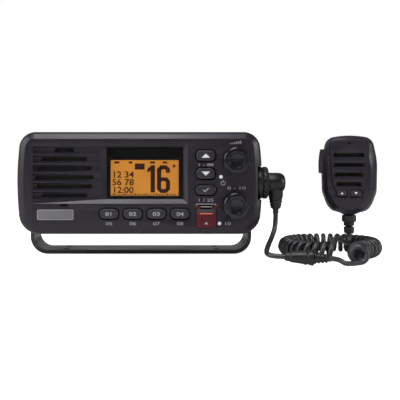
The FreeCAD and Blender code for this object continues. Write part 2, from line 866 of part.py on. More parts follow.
def build_main_board():
    """Main board on its posts, with the shield can, the power stage and two capacitors."""
    half = half_chassis - chassis_wall - main_board_side_gap
    front = panel_back_y + main_board_front_gap
    z = pivot_height - chassis_height / 2 + chassis_wall + main_board_rise
    back = chassis_back_y - chassis_wall - main_board_back_gap
    board = box(-half, half, front, back, z, z + board_thickness)
    top = z + board_thickness
    can = box(-half * 0.65, -half * 0.06, front + 10, back - 20, top, top + shield_height)
    stage = box(half * 0.1, half * 0.55, back - 24, back, top, top + power_stage_height)
    capacitors = []
    for share in (0.29, 0.48):
        at = V(half * share, front + 12, top)
        capacitors.append(Part.makeCylinder(capacitor_radius, capacitor_height, at, Z_AXIS))
    parts["main_board"] = board.fuse([can, stage] + capacitors).removeSplitter()


def build_back_sockets():
    x = antenna_x
    z = panel_z(antenna_z)
    back = chassis_back_y
    half = antenna_flange / 2
    flange = front_plate(x, z, antenna_flange, antenna_flange, 2.0, back, back + antenna_flange_thickness)
    barrel = turned([
        (0.0, antenna_thread_radius),
        (antenna_length - 1, antenna_thread_radius),
        (antenna_length, antenna_thread_radius - 1),
    ], V(x, back, z), Y_AXIS)
    tail = Part.makeCylinder(4, chassis_wall + 3, V(x, back - chassis_wall - 3, z), Y_AXIS)
    bore = Part.makeCylinder(antenna_bore_radius, antenna_length, V(x, back + 2, z), Y_AXIS)
    mouth = Part.makeCylinder(antenna_thread_radius - 1.8, antenna_length,
                              V(x, back + antenna_length - 5, z), Y_AXIS)
    insulator = Part.makeCylinder(antenna_bore_radius + 2, 4, V(x, back + antenna_length - 5, z), Y_AXIS)
    jack = flange.fuse([barrel, tail]).cut(mouth).fuse(insulator).cut(bore)
    holes = []
    for sx in (-1, 1):
        for sz in (-1, 1):
            at = V(x + sx * (half - 3.2), back - 1, z + sz * (half - 3.2))
            holes.append(Part.makeCylinder(1.6, antenna_flange_thickness + 2, at, Y_AXIS))
    parts["antenna_socket"] = jack.cut(holes).removeSplitter()

    z = panel_z(power_z)
    shroud = front_plate(power_x, z, power_width, power_height, 2.0, back, back + power_length)
    cavity = front_plate(power_x, z, power_width - 2 * power_wall, power_height - 2 * power_wall, 1.0,
                         back + 2, back + power_length + 1)
    pins = [Part.makeCylinder(power_pin_radius, power_length - 3, V(power_x + s * 4, back + 1, z), Y_AXIS)
            for s in (-1, 1)]
    parts["power_inlet"] = shroud.cut(cavity).fuse(pins).removeSplitter()


def build_bracket():
    """U strap bent from one strip, with round arm ends, pivot holes and four screw holes in its base."""
    half_depth = bracket_depth / 2
    top = pivot_height + arm_end_radius
    inner_radius = bracket_bend_radius - strap_thickness
    section = rounded_wire([
        (V(-arm_outer_x, -half_depth, 0), bracket_bend_radius),
        (V(arm_outer_x, -half_depth, 0), bracket_bend_radius),
        (V(arm_outer_x, -half_depth, top), 0),
        (V(arm_inner_x, -half_depth, top), 0),
        (V(arm_inner_x, -half_depth, strap_thickness), inner_radius),
        (V(-arm_inner_x, -half_depth, strap_thickness), inner_radius),
        (V(-arm_inner_x, -half_depth, top), 0),
        (V(-arm_outer_x, -half_depth, top), 0),
    ])
    strap = prism(section, V(0, bracket_depth, 0))
    side = rounded_wire([
        (V(-arm_outer_x - 1, -half_depth, -1), 0),
        (V(-arm_outer_x - 1, half_depth, -1), 0),
        (V(-arm_outer_x - 1, half_depth, top), arm_end_radius - 0.01),
        (V(-arm_outer_x - 1, -half_depth, top), arm_end_radius - 0.01),
    ])
    strap = strap.common(prism(side, V(2 * arm_outer_x + 2, 0, 0)))
    holes = [Part.makeCylinder(arm_hole_radius, 2 * arm_outer_x + 2,
                               V(-arm_outer_x - 1, 0, pivot_height), X_AXIS)]
    for sx in (-1, 1):
        for sy in (-1, 1):
            at = V(sx * mount_spacing_x / 2, sy * mount_spacing_y / 2, -1)
            holes.append(Part.makeCylinder(mount_hole_radius, strap_thickness + 2, at, Z_AXIS))
    parts["mounting_bracket"] = strap.cut(holes).removeSplitter()


def build_clamp_knobs():
    for name, side in (("clamp_knob_left", -1), ("clamp_knob_right", 1)):
        start = V(side * (arm_outer_x + slide_gap), 0, pivot_height)
        direction = V(side, 0, 0)
        grip = lobed_knob(clamp_radius, clamp_tip_radius, clamp_length, clamp_lobes)
        dish = Part.makeCone(clamp_radius * 0.5, clamp_radius * 0.58, 1.2, V(0, 0, clamp_length - 1.2))
        grip = aimed(grip.cut(dish), start, direction)
        screw = Part.makeCylinder(clamp_screw_radius, clamp_screw_length, start, direction * -1)
        parts[name] = grip.fuse(screw).removeSplitter()


def build_socket_and_plug():
    """Socket in the panel's side, elbow plug, coupling ring and the strain relief of the lead."""
    at = V(socket_face_x, socket_y, pivot_height)
    nose_tip = socket_face_x + socket_nose_length
    collar_start = notch_x + seat_gap - socket_face_x
    collar_edge = 0.7
    socket = turned([
        (-socket_tail_length, socket_radius - socket_tail_taper),
        (socket_tail_taper - socket_tail_length, socket_radius),
        (collar_start, socket_radius),
        (collar_start, socket_collar_radius - collar_edge),
        (collar_start + collar_edge, socket_collar_radius),
        (-collar_edge, socket_collar_radius),
        (0.0, socket_collar_radius - collar_edge),
        (0.0, socket_nose_radius),
        (socket_nose_length, socket_nose_radius),
    ], at, X_AXIS)
    bore = Part.makeCylinder(plug_pin_radius + seat_gap, socket_nose_length + socket_bore_depth + 1,
                             at - V(socket_bore_depth, 0, 0), X_AXIS)
    parts["mic_socket"] = socket.cut(bore)

    ring_start = socket_face_x + slide_gap
    ring_end = ring_start + ring_length
    ring = turned([
        (0.0, ring_radius - 0.6),
        (0.6, ring_radius),
        (ring_length - 0.9, ring_radius),
        (ring_length, ring_radius - 0.9),
    ], V(ring_start, socket_y, pivot_height), X_AXIS)
    ribs = []
    for i in range(ring_ribs):
        angle = 2 * math.pi * i / ring_ribs
        centre = V(ring_start - 1, socket_y + (ring_radius + 0.7) * math.cos(angle),
                   pivot_height + (ring_radius + 0.7) * math.sin(angle))
        ribs.append(Part.makeCylinder(1.2, ring_length + 2, centre, X_AXIS))
    hole = Part.makeCylinder(socket_nose_radius + slide_gap, ring_length + 2,
                             V(ring_start - 1, socket_y, pivot_height), X_AXIS)
    parts["plug_coupling_ring"] = ring.cut(ribs + [hole]).removeSplitter()

    barrel_start = ring_end + slide_gap
    barrel_end = barrel_start + plug_reach
    barrel = turned([
        (0.0, plug_radius),
        (plug_reach * 0.55, plug_radius),
        (plug_reach * 0.76, plug_radius * 0.95),
        (plug_reach * 0.91, plug_radius * 0.80),
        (plug_reach * 0.98, plug_radius * 0.60),
        (plug_reach, plug_radius * 0.45),
    ], V(barrel_start, socket_y, pivot_height), X_AXIS)
    pin = Part.makeCylinder(plug_pin_radius, barrel_start - socket_face_x + 5,
                            V(socket_face_x - 5, socket_y, pivot_height), X_AXIS)
    neck = Part.makeCylinder(socket_nose_radius - 0.6, barrel_start - nose_tip - slide_gap + 1,
                             V(nose_tip + slide_gap, socket_y, pivot_height), X_AXIS)
    drop = Part.makeCone(plug_drop_tip_radius, plug_drop_radius,
                         pivot_height - plug_drop_root - plug_drop_bottom,
                         V(plug_drop_x, socket_y, plug_drop_bottom))
    root = Part.makeCylinder(plug_drop_radius, plug_drop_root,
                             V(plug_drop_x, socket_y, pivot_height - plug_drop_root))
    parts["mic_plug"] = barrel.fuse([pin, neck, drop, root]).removeSplitter()

    shoulder = plug_drop_bottom - boot_shoulder_z
    step = shoulder / (boot_ribs + 0.5)
    profile = []
    for i in range(boot_ribs + 1):
        start = i * step
        end = min(start + step, shoulder)
        crest = plug_drop_tip_radius - (plug_drop_tip_radius - boot_tip_radius) * start / shoulder
        profile.append((start, crest - boot_rib_groove))
        profile.append((start + step * 0.2, crest - boot_rib_groove))
        profile.append((start + step * 0.25, crest))
        profile.append((end, crest - boot_rib_groove * 0.6))
    profile.append((shoulder + 1.2, boot_neck_radius))
    profile.append((plug_drop_bottom - boot_end_z, boot_neck_radius))
    parts["plug_boot"] = turned(profile, V(plug_drop_x, socket_y, plug_drop_bottom), V(0, 0, -1))


def tube_path(points, radii_name):
    """Straight runs joined by tangent arcs; prints the arcs' radii and the length."""
    edges = []
    radii = []
    start = points[0]
    for before, point, after in zip(points, points[1:], points[2:]):
        back = before - point
        ahead = after - point
        turn = math.pi - back.getAngle(ahead)
        run = min(back.Length, ahead.Length)
        cut = 0.45 * run
        radius = cut / math.tan(turn / 2)
        radii.append(round(radius, 1))
        back.normalize()
        ahead.normalize()
        arc_start = point + back * cut
        arc_end = point + ahead * cut
        middle = (back + ahead).normalize()
        reach = radius / math.cos(turn / 2) - radius
        edges.append(Part.makeLine(start, arc_start))
        edges.append(Part.Arc(arc_start, point + middle * reach, arc_end).toShape())
        start = arc_end
    edges.append(Part.makeLine(start, points[-1]))
    path = Part.Wire(edges)
    print(radii_name, "radii", radii, "length", round(path.Length, 1))
    return path


def round_tube(points, name):
    """Plain round tube along a route; prints how its volume compares with section times length."""
    path = tube_path(points, name)
    section = Part.Wire(Part.makeCircle(cord_radius, points[0], (points[1] - points[0]).normalize()))
    tube = path.makePipeShell([section], True, False)
    ideal = math.pi * cord_radius ** 2 * path.Length
    print(name, "volume ratio", round(tube.Volume / ideal, 4))
    parts[name] = tube


def arc_edge(start, tangent, end):
    """Arc from start, leaving along tangent, to end."""
    chord = end - start
    along = V(chord).normalize()
    bulge = tangent - along * tangent.dot(along)
    if bulge.Length < 1e-6:
        return Part.makeLine(start, end)
    angle = tangent.getAngle(along)
    middle = start + chord * 0.5 + bulge.normalize() * (chord.Length / 2 * math.tan(angle / 2))
    return Part.Arc(start, middle, end).toShape()


def biarc_edges(p0, t0, p1, t1):
    """Two arcs that join p0 to p1 and leave and arrive along the tangents t0 and t1."""
    chord = p1 - p0
    both = t0 + t1
    spread = 2 * (1 - t0.dot(t1))
    if spread < 1e-9:
        reach = chord.Length / 4
    else:
        reach = (-chord.dot(both) + math.sqrt(chord.dot(both) ** 2 + spread * chord.dot(chord))) / spread
    joint = (p0 + p1 + (t0 - t1) * reach) * 0.5
    to_joint = joint - p0 - t0 * reach
    joint_tangent = V(to_joint).normalize()
    return [arc_edge(p0, t0, joint), arc_edge(joint, joint_tangent, p1)]


def curl_helix():
    """Points and tangents of the curls, four to a turn, left-handed round the smooth curl axis."""
    axis = Part.BSplineCurve()
    axis.buildFromPoles(curl_axis_points, False, 2)
    length = axis.length()
    turns = round(length / curl_pitch) + 0.4375

    def at(share):
        u = axis.parameterAtDistance(length * share, axis.FirstParameter)
        left = Z_AXIS.cross(axis.tangent(u)[0])
        phase = -math.pi / 2 - 2 * math.pi * turns * share
        return axis.value(u) + (left * math.cos(phase) + Z_AXIS * math.sin(phase)) * curl_radius

    steps = round(turns * 4)
    near = 0.0001
    points = []
    tangents = []
    for i in range(steps + 1):
        share = i / steps
        points.append(at(share))
        tangents.append((at(min(1, share + near)) - at(max(0, share - near))).normalize())
    return points, tangents, turns


def least_self_gap(points, reach):
    """Smallest distance between the cord's surface and itself, on points more than reach steps apart."""
    least = None
    for i in range(len(points)):
        for j in range(i + reach, len(points)):
            distance = points[i].distanceToPoint(points[j])
            if least is None or distance < least:
                least = distance
    return least - cord_diameter


def build_curly_cord(points, tangents, turns):
    """One unbroken tube: a straight end, the curls on biarcs of a quarter turn, and a straight end."""
    first = points[0] - tangents[0] * cord_diameter
    last = points[-1] + tangents[-1] * cord_diameter
    edges = [Part.makeLine(first, points[0])]
    for i in range(len(points) - 1):
        edges += biarc_edges(points[i], tangents[i], points[i + 1], tangents[i + 1])
    edges.append(Part.makeLine(points[-1], last))
    samples = []
    for edge in edges:
        samples += edge.discretize(5)[:-1]
    path = Part.Wire(edges)
    least_radius = min(edge.Curve.Radius for edge in edges if hasattr(edge.Curve, "Radius"))
    print("curls", round(turns, 2), "length", round(path.Length, 1), "least radius", round(least_radius, 2))
    print("curls least gap", round(least_self_gap(samples, 20), 2))
    side = tangents[0].cross(Z_AXIS).normalize()
    up = side.cross(tangents[0])
    turn = 2 * math.pi / curl_sides
    corner_radius = cord_radius * math.sqrt(turn / math.sin(turn))
    corners = []
    for i in range(curl_sides):
        angle = turn * (i + 0.5)
        corners.append(first + (side * math.cos(angle) + up * math.sin(angle)) * corner_radius)
    section = Part.makePolygon(corners + corners[:1])
    parts["curly_cord"] = path.makePipeShell([section], True, False)


def build_cords():
    """Lead, link, curls and tail, end to end."""
    points, tangents, turns = curl_helix()
    link_end = points[0] - tangents[0] * cord_diameter
    tail_start = points[-1] + tangents[-1] * cord_diameter
    link_points = [
        coupler_end,
        coupler_end + coupler_axis * link_lead_in,
        link_end - tangents[0] * link_lead_in,
        link_end,
    ]
    round_tube(lead_points, "lead_cord")
    round_tube(link_points, "link_cord")
    round_tube([tail_start, tail_start + tangents[-1] * tail_lead_out] + tail_points, "cord_tail")
    build_curly_cord(points, tangents, turns)


def build_coupler():
    length = coupler_start.distanceToPoint(coupler_end)
    body_end = length * 0.66
    collar_end = length * 0.71
    parts["coupler_body"] = turned([
        (0.0, coupler_radius * 0.62),
        (1.4, coupler_radius * 0.72),
        (3.4, coupler_radius * 0.78),
        (4.4, coupler_radius * 0.92),
        (length * 0.42, coupler_radius * 1.12),
        (length * 0.44, coupler_radius * 1.20),
        (length * 0.50, coupler_radius * 1.22),
        (length * 0.52, coupler_radius * 1.08),
        (length * 0.55, coupler_radius * 1.22),
        (body_end - 2.4, coupler_radius * 1.22),
        (body_end - 1.6, collar_radius),
        (body_end, collar_radius),
    ], coupler_start, coupler_axis)
    ribs = 4
    profile = [(0.0, coupler_boot_radius * 0.9)]
    step = (length - body_end) / ribs
    for i in range(ribs):
        crest = coupler_boot_radius - 0.35 * i
        profile.append((i * step + 0.3, crest))
        profile.append((i * step + step * 0.62, crest))
        profile.append((i * step + step * 0.7, crest - 0.9))
        profile.append(((i + 1) * step, crest - 0.9))
    parts["coupler_boot"] = turned(profile, coupler_start + coupler_axis * body_end, coupler_axis)


def mic_wire(inset, y):
    """Outline of the microphone: arched top, sloping shoulders and a chin that narrows to the cord."""
    w = mic_half_width - inset
    top = mic_top - inset
    low = mic_bottom + inset
    right = [
        (V(w - mic_shoulder_inset, y, top - 1.9), 8.0 - inset * 0.5),
        (V(w, y, top - mic_shoulder_drop), 50.0),
        (V(w - 0.4, y, low + mic_chin_rise), 12.0 - inset * 0.5),
        (V(mic_chin_half_width - inset * 0.5, y, low), 10.0 - inset * 0.5),
    ]
    left = [(V(-point.x, y, point.z), radius) for point, radius in reversed(right)]
    return rounded_wire([(V(0, y, top + 0.7), 60.0 - inset * 6)] + right + left)


def mic_plate_wire(inset, y):
    """Outline of the raised front plate, which narrows downwards round the two keys."""
    right = [
        (V(14.9 - inset, y, mic_top - 3.4 - inset), 3.0),
        (V(14.0 - inset, y, mic_top - 23.0), 40.0),
        (V(12.7 - inset, y, mic_key_z + 6.0), 20.0),
        (V(8.2 - inset * 0.5, y, mic_key_z - mic_key_height / 2 - 1.4 + inset), 3.5),
    ]
    left = [(V(-point.x, y, point.z), radius) for point, radius in reversed(right)]
    return rounded_wire(right + left)


def mic_seams(core):
    """Thin slanting grooves on both sides of the front, as deep as the core leaves them."""
    seams = []
    for side in (-1, 1):
        outer_x = side * (mic_half_width + 1)
        inner_x = side * mic_key_x * 2.5
        corners = [
            V(outer_x, -mic_front_depth - 1, mic_seam_z),
            V(inner_x, -mic_front_depth - 1, mic_seam_z + mic_seam_rise),
            V(inner_x, -mic_front_depth - 1, mic_seam_z + mic_seam_rise + mic_seam_width),
            V(outer_x, -mic_front_depth - 1, mic_seam_z + mic_seam_width),
        ]
        slab = prism(Part.makePolygon(corners + corners[:1]), V(0, mic_front_depth + mic_split - 2, 0))
        seams.append(slab.cut(core))
    return seams


def on_mic(shape):
    """Puts a shape drawn round the microphone's own axis in its place, turned to face the viewer."""
    placed = shape.copy()
    turn = FreeCAD.Placement(V(mic_x, mic_y, 0), FreeCAD.Rotation(Z_AXIS, mic_yaw))
    placed.Placement = turn.multiply(placed.Placement)
    return placed


def build_microphone():
    front = -mic_front_depth
    split = mic_split
    base_face = front + mic_plate_height
    outer = ruled([
        mic_wire(0, split),
        mic_wire(0, split - 6),
        mic_wire(1.4, base_face + 3.6),
        mic_wire(4.6, base_face),
    ])
    core = ruled([
        mic_wire(mic_seam_depth, split),
        mic_wire(mic_seam_depth, split - 6),
        mic_wire(1.4 + mic_seam_depth, base_face + 3.6 + mic_seam_depth),
        mic_wire(4.6 + mic_seam_depth, base_face + mic_seam_depth),
    ])
    plate = ruled([
        mic_plate_wire(0, base_face + 0.5),
        mic_plate_wire(1.1, front),
    ])
    cavity = ruled([
        mic_wire(mic_wall, split + 1),
        mic_wire(mic_wall, split - 5),
        mic_wire(6.0, base_face + mic_wall),
    ])
    shell = outer.cut(mic_seams(core)).fuse(plate).cut(cavity)
    cuts = []
    for i in range(mic_slots):
        z = mic_slot_top - i * mic_slot_pitch
        half = mic_slot_widths[i] / 2
        groove = [
            V(-half - 1, front - 1, z + 0.1),
            V(-half - 1, front + 1.6, z - 0.2),
            V(-half - 1, front + 1.6, z - mic_slot_height + 0.4),
            V(-half - 1, front - 1, z - mic_slot_height - 1.3),
        ]
        cuts.append(prism(Part.makePolygon(groove + groove[:1]), V(2 * half + 2, 0, 0)))
        cuts.append(box(-half, half, front, base_face + mic_wall + 1, z - mic_slot_height + 0.4, z - 0.2))
    cuts.append(Part.makeCylinder(mic_hole_radius, 8, V(0, front - 1, mic_top - mic_hole_from_top), Y_AXIS))
    for side in (-1, 1):
        cuts.append(front_plate(side * mic_key_x, mic_key_z, mic_key_width + 2 * slide_gap,
                                mic_key_height + 2 * slide_gap, 1.6, front - 1, base_face + mic_wall + 1))
    talk_back = talk_y + talk_width / 2 + slide_gap
    talk_front = talk_y - talk_width / 2 - slide_gap
    talk_half = talk_height / 2 + slide_gap
    cuts.append(box(-mic_half_width - 2, talk_flange_x + talk_travel + slide_gap, talk_front, talk_back,
                    talk_z - talk_half, talk_z + talk_half))
    boot_hole = Part.makeCylinder(4.0, 8, V(0, 0, mic_bottom - 2), Z_AXIS)
    cuts.append(boot_hole)
    parts["mic_front_shell"] = on_mic(shell.cut(cuts).removeSplitter())

    back = mic_rear_depth
    rear = ruled([
        mic_wire(0, split),
        mic_wire(0.6, split + 5),
        mic_wire(2.6, back - 2.5),
        mic_wire(6.5, back),
    ])
    rear_cavity = ruled([
        mic_wire(mic_wall, split - 1),
        mic_wire(mic_wall + 0.8, split + 5),
        mic_wire(7.5, back - mic_wall),
    ])
    upper_z = mic_top - mic_screw_from_top
    screw_spots = [(-mic_screw_x, upper_z), (mic_screw_x, upper_z), (0, mic_bottom + mic_screw_from_bottom)]
    screw_holes = [Part.makeCylinder(screw_radius + seat_gap, 8, V(x, back - 6, z), Y_AXIS) for x,
                   z in screw_spots]
    stud_hole = Part.makeCylinder(1.5, 6, V(0, back - 4, stud_z), Y_AXIS)
    posts = [Part.makeCylinder(mic_post_radius, back - split - 1, V(x, split, z), Y_AXIS) for x,
             z in screw_spots]
    rear = rear.cut(rear_cavity).fuse(posts).cut(screw_holes + [stud_hole, boot_hole])
    parts["mic_rear_shell"] = on_mic(rear.removeSplitter())

    screws = []
    for x, z in screw_spots:
        screws.append(turned([
            (-mic_screw_length, screw_radius),
            (0.0, screw_radius),
            (0.0, screw_head_radius - 0.4),
            (0.9, screw_head_radius - 1.0),
        ], V(x, back, z), Y_AXIS))
    parts["mic_screws"] = on_mic(Part.makeCompound(screws))
    stud = turned([
        (-3.0, 1.4),
        (0.0, 1.4),
        (0.0, stud_neck_radius),
        (stud_length - 2.0, stud_neck_radius),
        (stud_length - 2.0, stud_radius),
        (stud_length - 0.5, stud_radius),
        (stud_length, stud_radius - 0.8),
    ], V(0, back, stud_z), Y_AXIS)
    parts["mic_hanger_stud"] = on_mic(stud)


def build_mic_inside():
    front = -mic_front_depth
    inner = front + mic_plate_height + mic_wall
    slots_mid = mic_slot_top - 1.5 * mic_slot_pitch
    speaker = turned([
        (0.0, mic_speaker_radius),
        (1.2, mic_speaker_radius),
        (3.0, mic_speaker_radius - 4.0),
        (mic_speaker_height, mic_speaker_radius - 4.0),
    ], V(0, inner, slots_mid - 1.0), Y_AXIS)
    cone = turned([
        (-1.0, mic_speaker_radius - 1.5),
        (0.4, mic_speaker_radius - 2.0),
        (1.6, mic_speaker_radius - 9.0),
    ], V(0, inner, slots_mid - 1.0), Y_AXIS)
    parts["mic_speaker"] = on_mic(speaker.cut(cone))
    capsule_at = V(0, inner, mic_top - mic_capsule_from_top)
    parts["mic_capsule"] = on_mic(Part.makeCylinder(mic_capsule_radius, mic_speaker_height, capsule_at,
                                                    Y_AXIS))
    board_front = inner + mic_speaker_height
    flange_inside = talk_flange_x + 0.8
    switch_face = flange_inside + talk_travel + 0.2
    board_top = mic_top - mic_board_from_top
    board_low = mic_bottom + mic_board_from_bottom
    board = front_plate(0, (board_top + board_low) / 2, 2 * mic_board_half_width, board_top - board_low, 2.0,
                        board_front, board_front + mic_board_thickness)
    switch = box(switch_face, switch_face + 3, talk_y - 3, talk_y + 3, talk_z - 4, talk_z + 4)
    parts["mic_board"] = on_mic(board.fuse(switch).removeSplitter())

    flange_front = inner + slide_gap
    for name, side in (("mic_up_key", -1), ("mic_down_key", 1)):
        x = side * mic_key_x
        tip = front + 0.2
        cap = ruled([
            front_wire(x, mic_key_z, mic_key_width - 0.8, mic_key_height - 0.8, 1.2, tip),
            front_wire(x, mic_key_z, mic_key_width, mic_key_height, 1.5, tip + 0.4),
            front_wire(x, mic_key_z, mic_key_width, mic_key_height, 1.5, flange_front),
        ])
        flange = front_plate(x, mic_key_z, mic_key_width + 1.2, mic_key_height + 1.6, 1.5,
                             flange_front, flange_front + 0.8)
        parts[name] = on_mic(cap.fuse(flange).removeSplitter())

    outside = -mic_half_width - talk_proud
    half_y = talk_width / 2
    half_z = talk_height / 2
    bar = box(outside, talk_flange_x + 0.1, talk_y - half_y, talk_y + half_y, talk_z - half_z,
              talk_z + half_z)
    corners = [e for e in bar.Edges if abs(e.BoundBox.XMax - outside) < 1e-6]
    bar = bar.makeFillet(1.2, corners)
    bar = bar.common(prism(mic_wire(-talk_proud, talk_y - half_y - 1), V(0, talk_width + 2, 0)))
    flange = box(talk_flange_x, flange_inside, talk_y - 0.6, talk_y + half_y, talk_z - half_z - 0.9,
                 talk_z + half_z + 0.9)
    parts["talk_bar"] = on_mic(bar.fuse(flange).removeSplitter())

    boot_top = mic_bottom + 3
    boot = turned([
        (0.0, 3.9),
        (boot_top - mic_bottom, 3.9),
        (boot_top - mic_bottom, 5.4),
        (boot_top - mic_boot_head_z, 5.4),
        (boot_top - mic_boot_head_z + 0.5, 4.0),
        (boot_top - mic_boot_groove_z, 4.0),
        (boot_top - mic_boot_groove_z + 0.2, 2.7),
        (boot_top - mic_boot_groove_z + 0.8, 2.7),
        (boot_top - mic_boot_groove_z + 1.0, 4.0),
        (boot_top - mic_boot_z - 1.0, 3.8),
        (boot_top - mic_boot_z, 3.0),
    ], V(0, 0, boot_top), V(0, 0, -1))
    parts["mic_boot"] = on_mic(boot)


def export_parts():
    os.makedirs("parts", exist_ok=True)
    for name, shape in parts.items():
        shape.exportStep(os.path.join("parts", name + ".step"))
        state = "" if shape.isValid() else " NOT VALID"
        print(f"{name}: {len(shape.Solids)} solid(s), {shape.Volume / 1000:.2f} cm3{state}")


build_front_housing()
build_display()
build_keys()
build_key_mat()
build_front_board()
build_distress()
build_control("volume", volume_z)
build_control("squelch", squelch_z)
build_name_plate()
build_speaker()
build_chassis()
build_main_board()
build_back_sockets()
build_bracket()
build_clamp_knobs()
build_socket_and_plug()
build_cords()
build_coupler()
build_microphone()
build_mic_inside()
export_parts()
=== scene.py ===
# %% [markdown]
# A fixed-mount marine radio: a bowed front panel with a louvred loudspeaker grille, an amber display, soft
# keys and two lobed knobs, held in a U bracket, with a hand microphone on a curly cord. The solids come
# ready made from the frame. This lesson gives them finishes, rounds their edges and adds what is printed,
# lit or flexible. The scene is in metres, with the panel facing -Y. Lengths on the object are easier to
# read in millimetres, so they are written that way and multiplied by MM.

# %% Load the frame
import json
import math

import bpy
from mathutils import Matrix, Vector

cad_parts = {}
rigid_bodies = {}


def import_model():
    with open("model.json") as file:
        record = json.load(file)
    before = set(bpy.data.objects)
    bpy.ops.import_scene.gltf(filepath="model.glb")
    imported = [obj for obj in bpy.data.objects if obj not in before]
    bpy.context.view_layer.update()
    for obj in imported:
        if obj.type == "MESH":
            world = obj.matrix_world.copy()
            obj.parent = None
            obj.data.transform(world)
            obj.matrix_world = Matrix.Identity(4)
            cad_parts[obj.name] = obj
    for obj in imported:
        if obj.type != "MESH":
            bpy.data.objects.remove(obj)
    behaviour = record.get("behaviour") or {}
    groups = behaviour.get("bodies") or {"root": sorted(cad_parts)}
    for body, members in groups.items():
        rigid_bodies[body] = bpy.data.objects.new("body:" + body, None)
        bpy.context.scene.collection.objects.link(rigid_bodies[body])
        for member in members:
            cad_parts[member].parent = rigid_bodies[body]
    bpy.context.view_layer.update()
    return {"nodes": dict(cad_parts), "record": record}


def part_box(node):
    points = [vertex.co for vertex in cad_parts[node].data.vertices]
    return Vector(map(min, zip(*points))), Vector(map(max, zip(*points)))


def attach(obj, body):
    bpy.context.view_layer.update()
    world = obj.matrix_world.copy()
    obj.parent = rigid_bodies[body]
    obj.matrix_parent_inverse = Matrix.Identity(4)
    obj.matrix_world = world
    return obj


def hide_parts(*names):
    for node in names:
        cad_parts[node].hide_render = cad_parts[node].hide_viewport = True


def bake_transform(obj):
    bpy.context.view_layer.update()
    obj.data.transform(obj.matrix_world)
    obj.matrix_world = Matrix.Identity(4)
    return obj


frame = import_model()
nodes = frame["nodes"]
node_slot = {row["node"]: row["material_slot"] for row in frame["record"]["subparts"]}
node_body = {node: body for body, group in frame["record"]["behaviour"]["bodies"].items() for node in group}

# %% [markdown]
# The photograph was taken from the front, level with the top of the display. A camera could be tilted to
# get the radio into the frame, but then upright edges would lean. So the camera looks straight along Y and
# the frame is shifted instead, as with a product photographer's shift lens. The focal length is given in
# pixels, because that can be measured in the photograph: it sets how fast things shrink with distance.

# %% Camera
MM = 0.001
FOCAL_PX = 774.0
PICTURE_PX = 400.0
AXIS_PX = (161.0, 159.4)
SENSOR = 36.0
CAMERA_PLACE = Vector((15.5, -617.0, 73.2)) * MM
NEAREST_SEEN = 0.01

bpy.ops.object.camera_add(location=CAMERA_PLACE, rotation=(math.pi / 2, 0, 0))
camera = bpy.context.object
camera.data.sensor_width = SENSOR
camera.data.lens = SENSOR * FOCAL_PX / PICTURE_PX
camera.data.shift_x = (PICTURE_PX / 2 - AXIS_PX[0]) / PICTURE_PX
camera.data.shift_y = (AXIS_PX[1] - PICTURE_PX / 2) / PICTURE_PX
camera.data.clip_start = NEAREST_SEEN
bpy.context.scene.camera = camera
bpy.context.scene.view_settings.view_transform = "Standard"
print("lens", round(camera.data.lens, 1), "mm")
print("shift", round(camera.data.shift_x, 4), round(camera.data.shift_y, 4))

# %% [markdown]
# Moulded plastic, rubber and paint are never perfectly flat or even: the mould leaves a fine grain, and the
# tone drifts a little from place to place. Each material could hold its own noise nodes, but then a change
# would have to be made many times. Two shader groups hold them once. The first gives the grain as a height,
# from a fine and a coarse noise mixed together, and each material brings its own scale.

# %% Grain group
FINE_DETAIL = 2.0
COARSE_DETAIL = 1.0
COARSE_SHARE = 0.3


def new_group(name, inputs, outputs):
    """Empty shader node group with float inputs (name, value) and float outputs."""
    group = bpy.data.node_groups.new(name, "ShaderNodeTree")
    for label, value in inputs:
        socket = group.interface.new_socket(name=label, in_out="INPUT", socket_type="NodeSocketFloat")
        socket.default_value = value
    for label in outputs:
        group.interface.new_socket(name=label, in_out="OUTPUT", socket_type="NodeSocketFloat")
    return group, group.nodes.new("NodeGroupInput"), group.nodes.new("NodeGroupOutput")


def grain_group():
    """Fine pebbled grain: two sizes of noise added together."""
    group, inlet, outlet = new_group("moulded grain", [("Scale", 1500.0), ("Coarseness", 0.35)], ["Height"])
    place = group.nodes.new("ShaderNodeTexCoord")
    fine = group.nodes.new("ShaderNodeTexNoise")
    fine.inputs["Detail"].default_value = FINE_DETAIL
    coarse = group.nodes.new("ShaderNodeTexNoise")
    coarse.inputs["Detail"].default_value = COARSE_DETAIL
    coarser = group.nodes.new("ShaderNodeMath")
    coarser.operation = "MULTIPLY"
    coarser.inputs[1].default_value = COARSE_SHARE
    blend = group.nodes.new("ShaderNodeMix")
    links = group.links
    links.new(place.outputs["Object"], fine.inputs["Vector"])
    links.new(place.outputs["Object"], coarse.inputs["Vector"])
    links.new(inlet.outputs["Scale"], fine.inputs["Scale"])
    links.new(inlet.outputs["Scale"], coarser.inputs[0])
    links.new(coarser.outputs[0], coarse.inputs["Scale"])
    links.new(inlet.outputs["Coarseness"], blend.inputs["Factor"])
    links.new(fine.outputs["Fac"], blend.inputs["A"])
    links.new(coarse.outputs["Fac"], blend.inputs["B"])
    links.new(blend.outputs["Result"], outlet.inputs["Height"])
    return group


GRAIN = grain_group()
print("group", GRAIN.name)

# %% [markdown]
# The second group gives the slow drift of tone, as a number from 0 to 1 that mixes a material's two
# colours. The values of a noise lie mostly near its middle, so the two colours would hardly be told apart.
# A Map Range node spreads that middle over the whole way from 0 to 1.

# %% Drift group
DRIFT_DETAIL = 3.0
DRIFT_FROM = 0.35
DRIFT_TO = 0.65


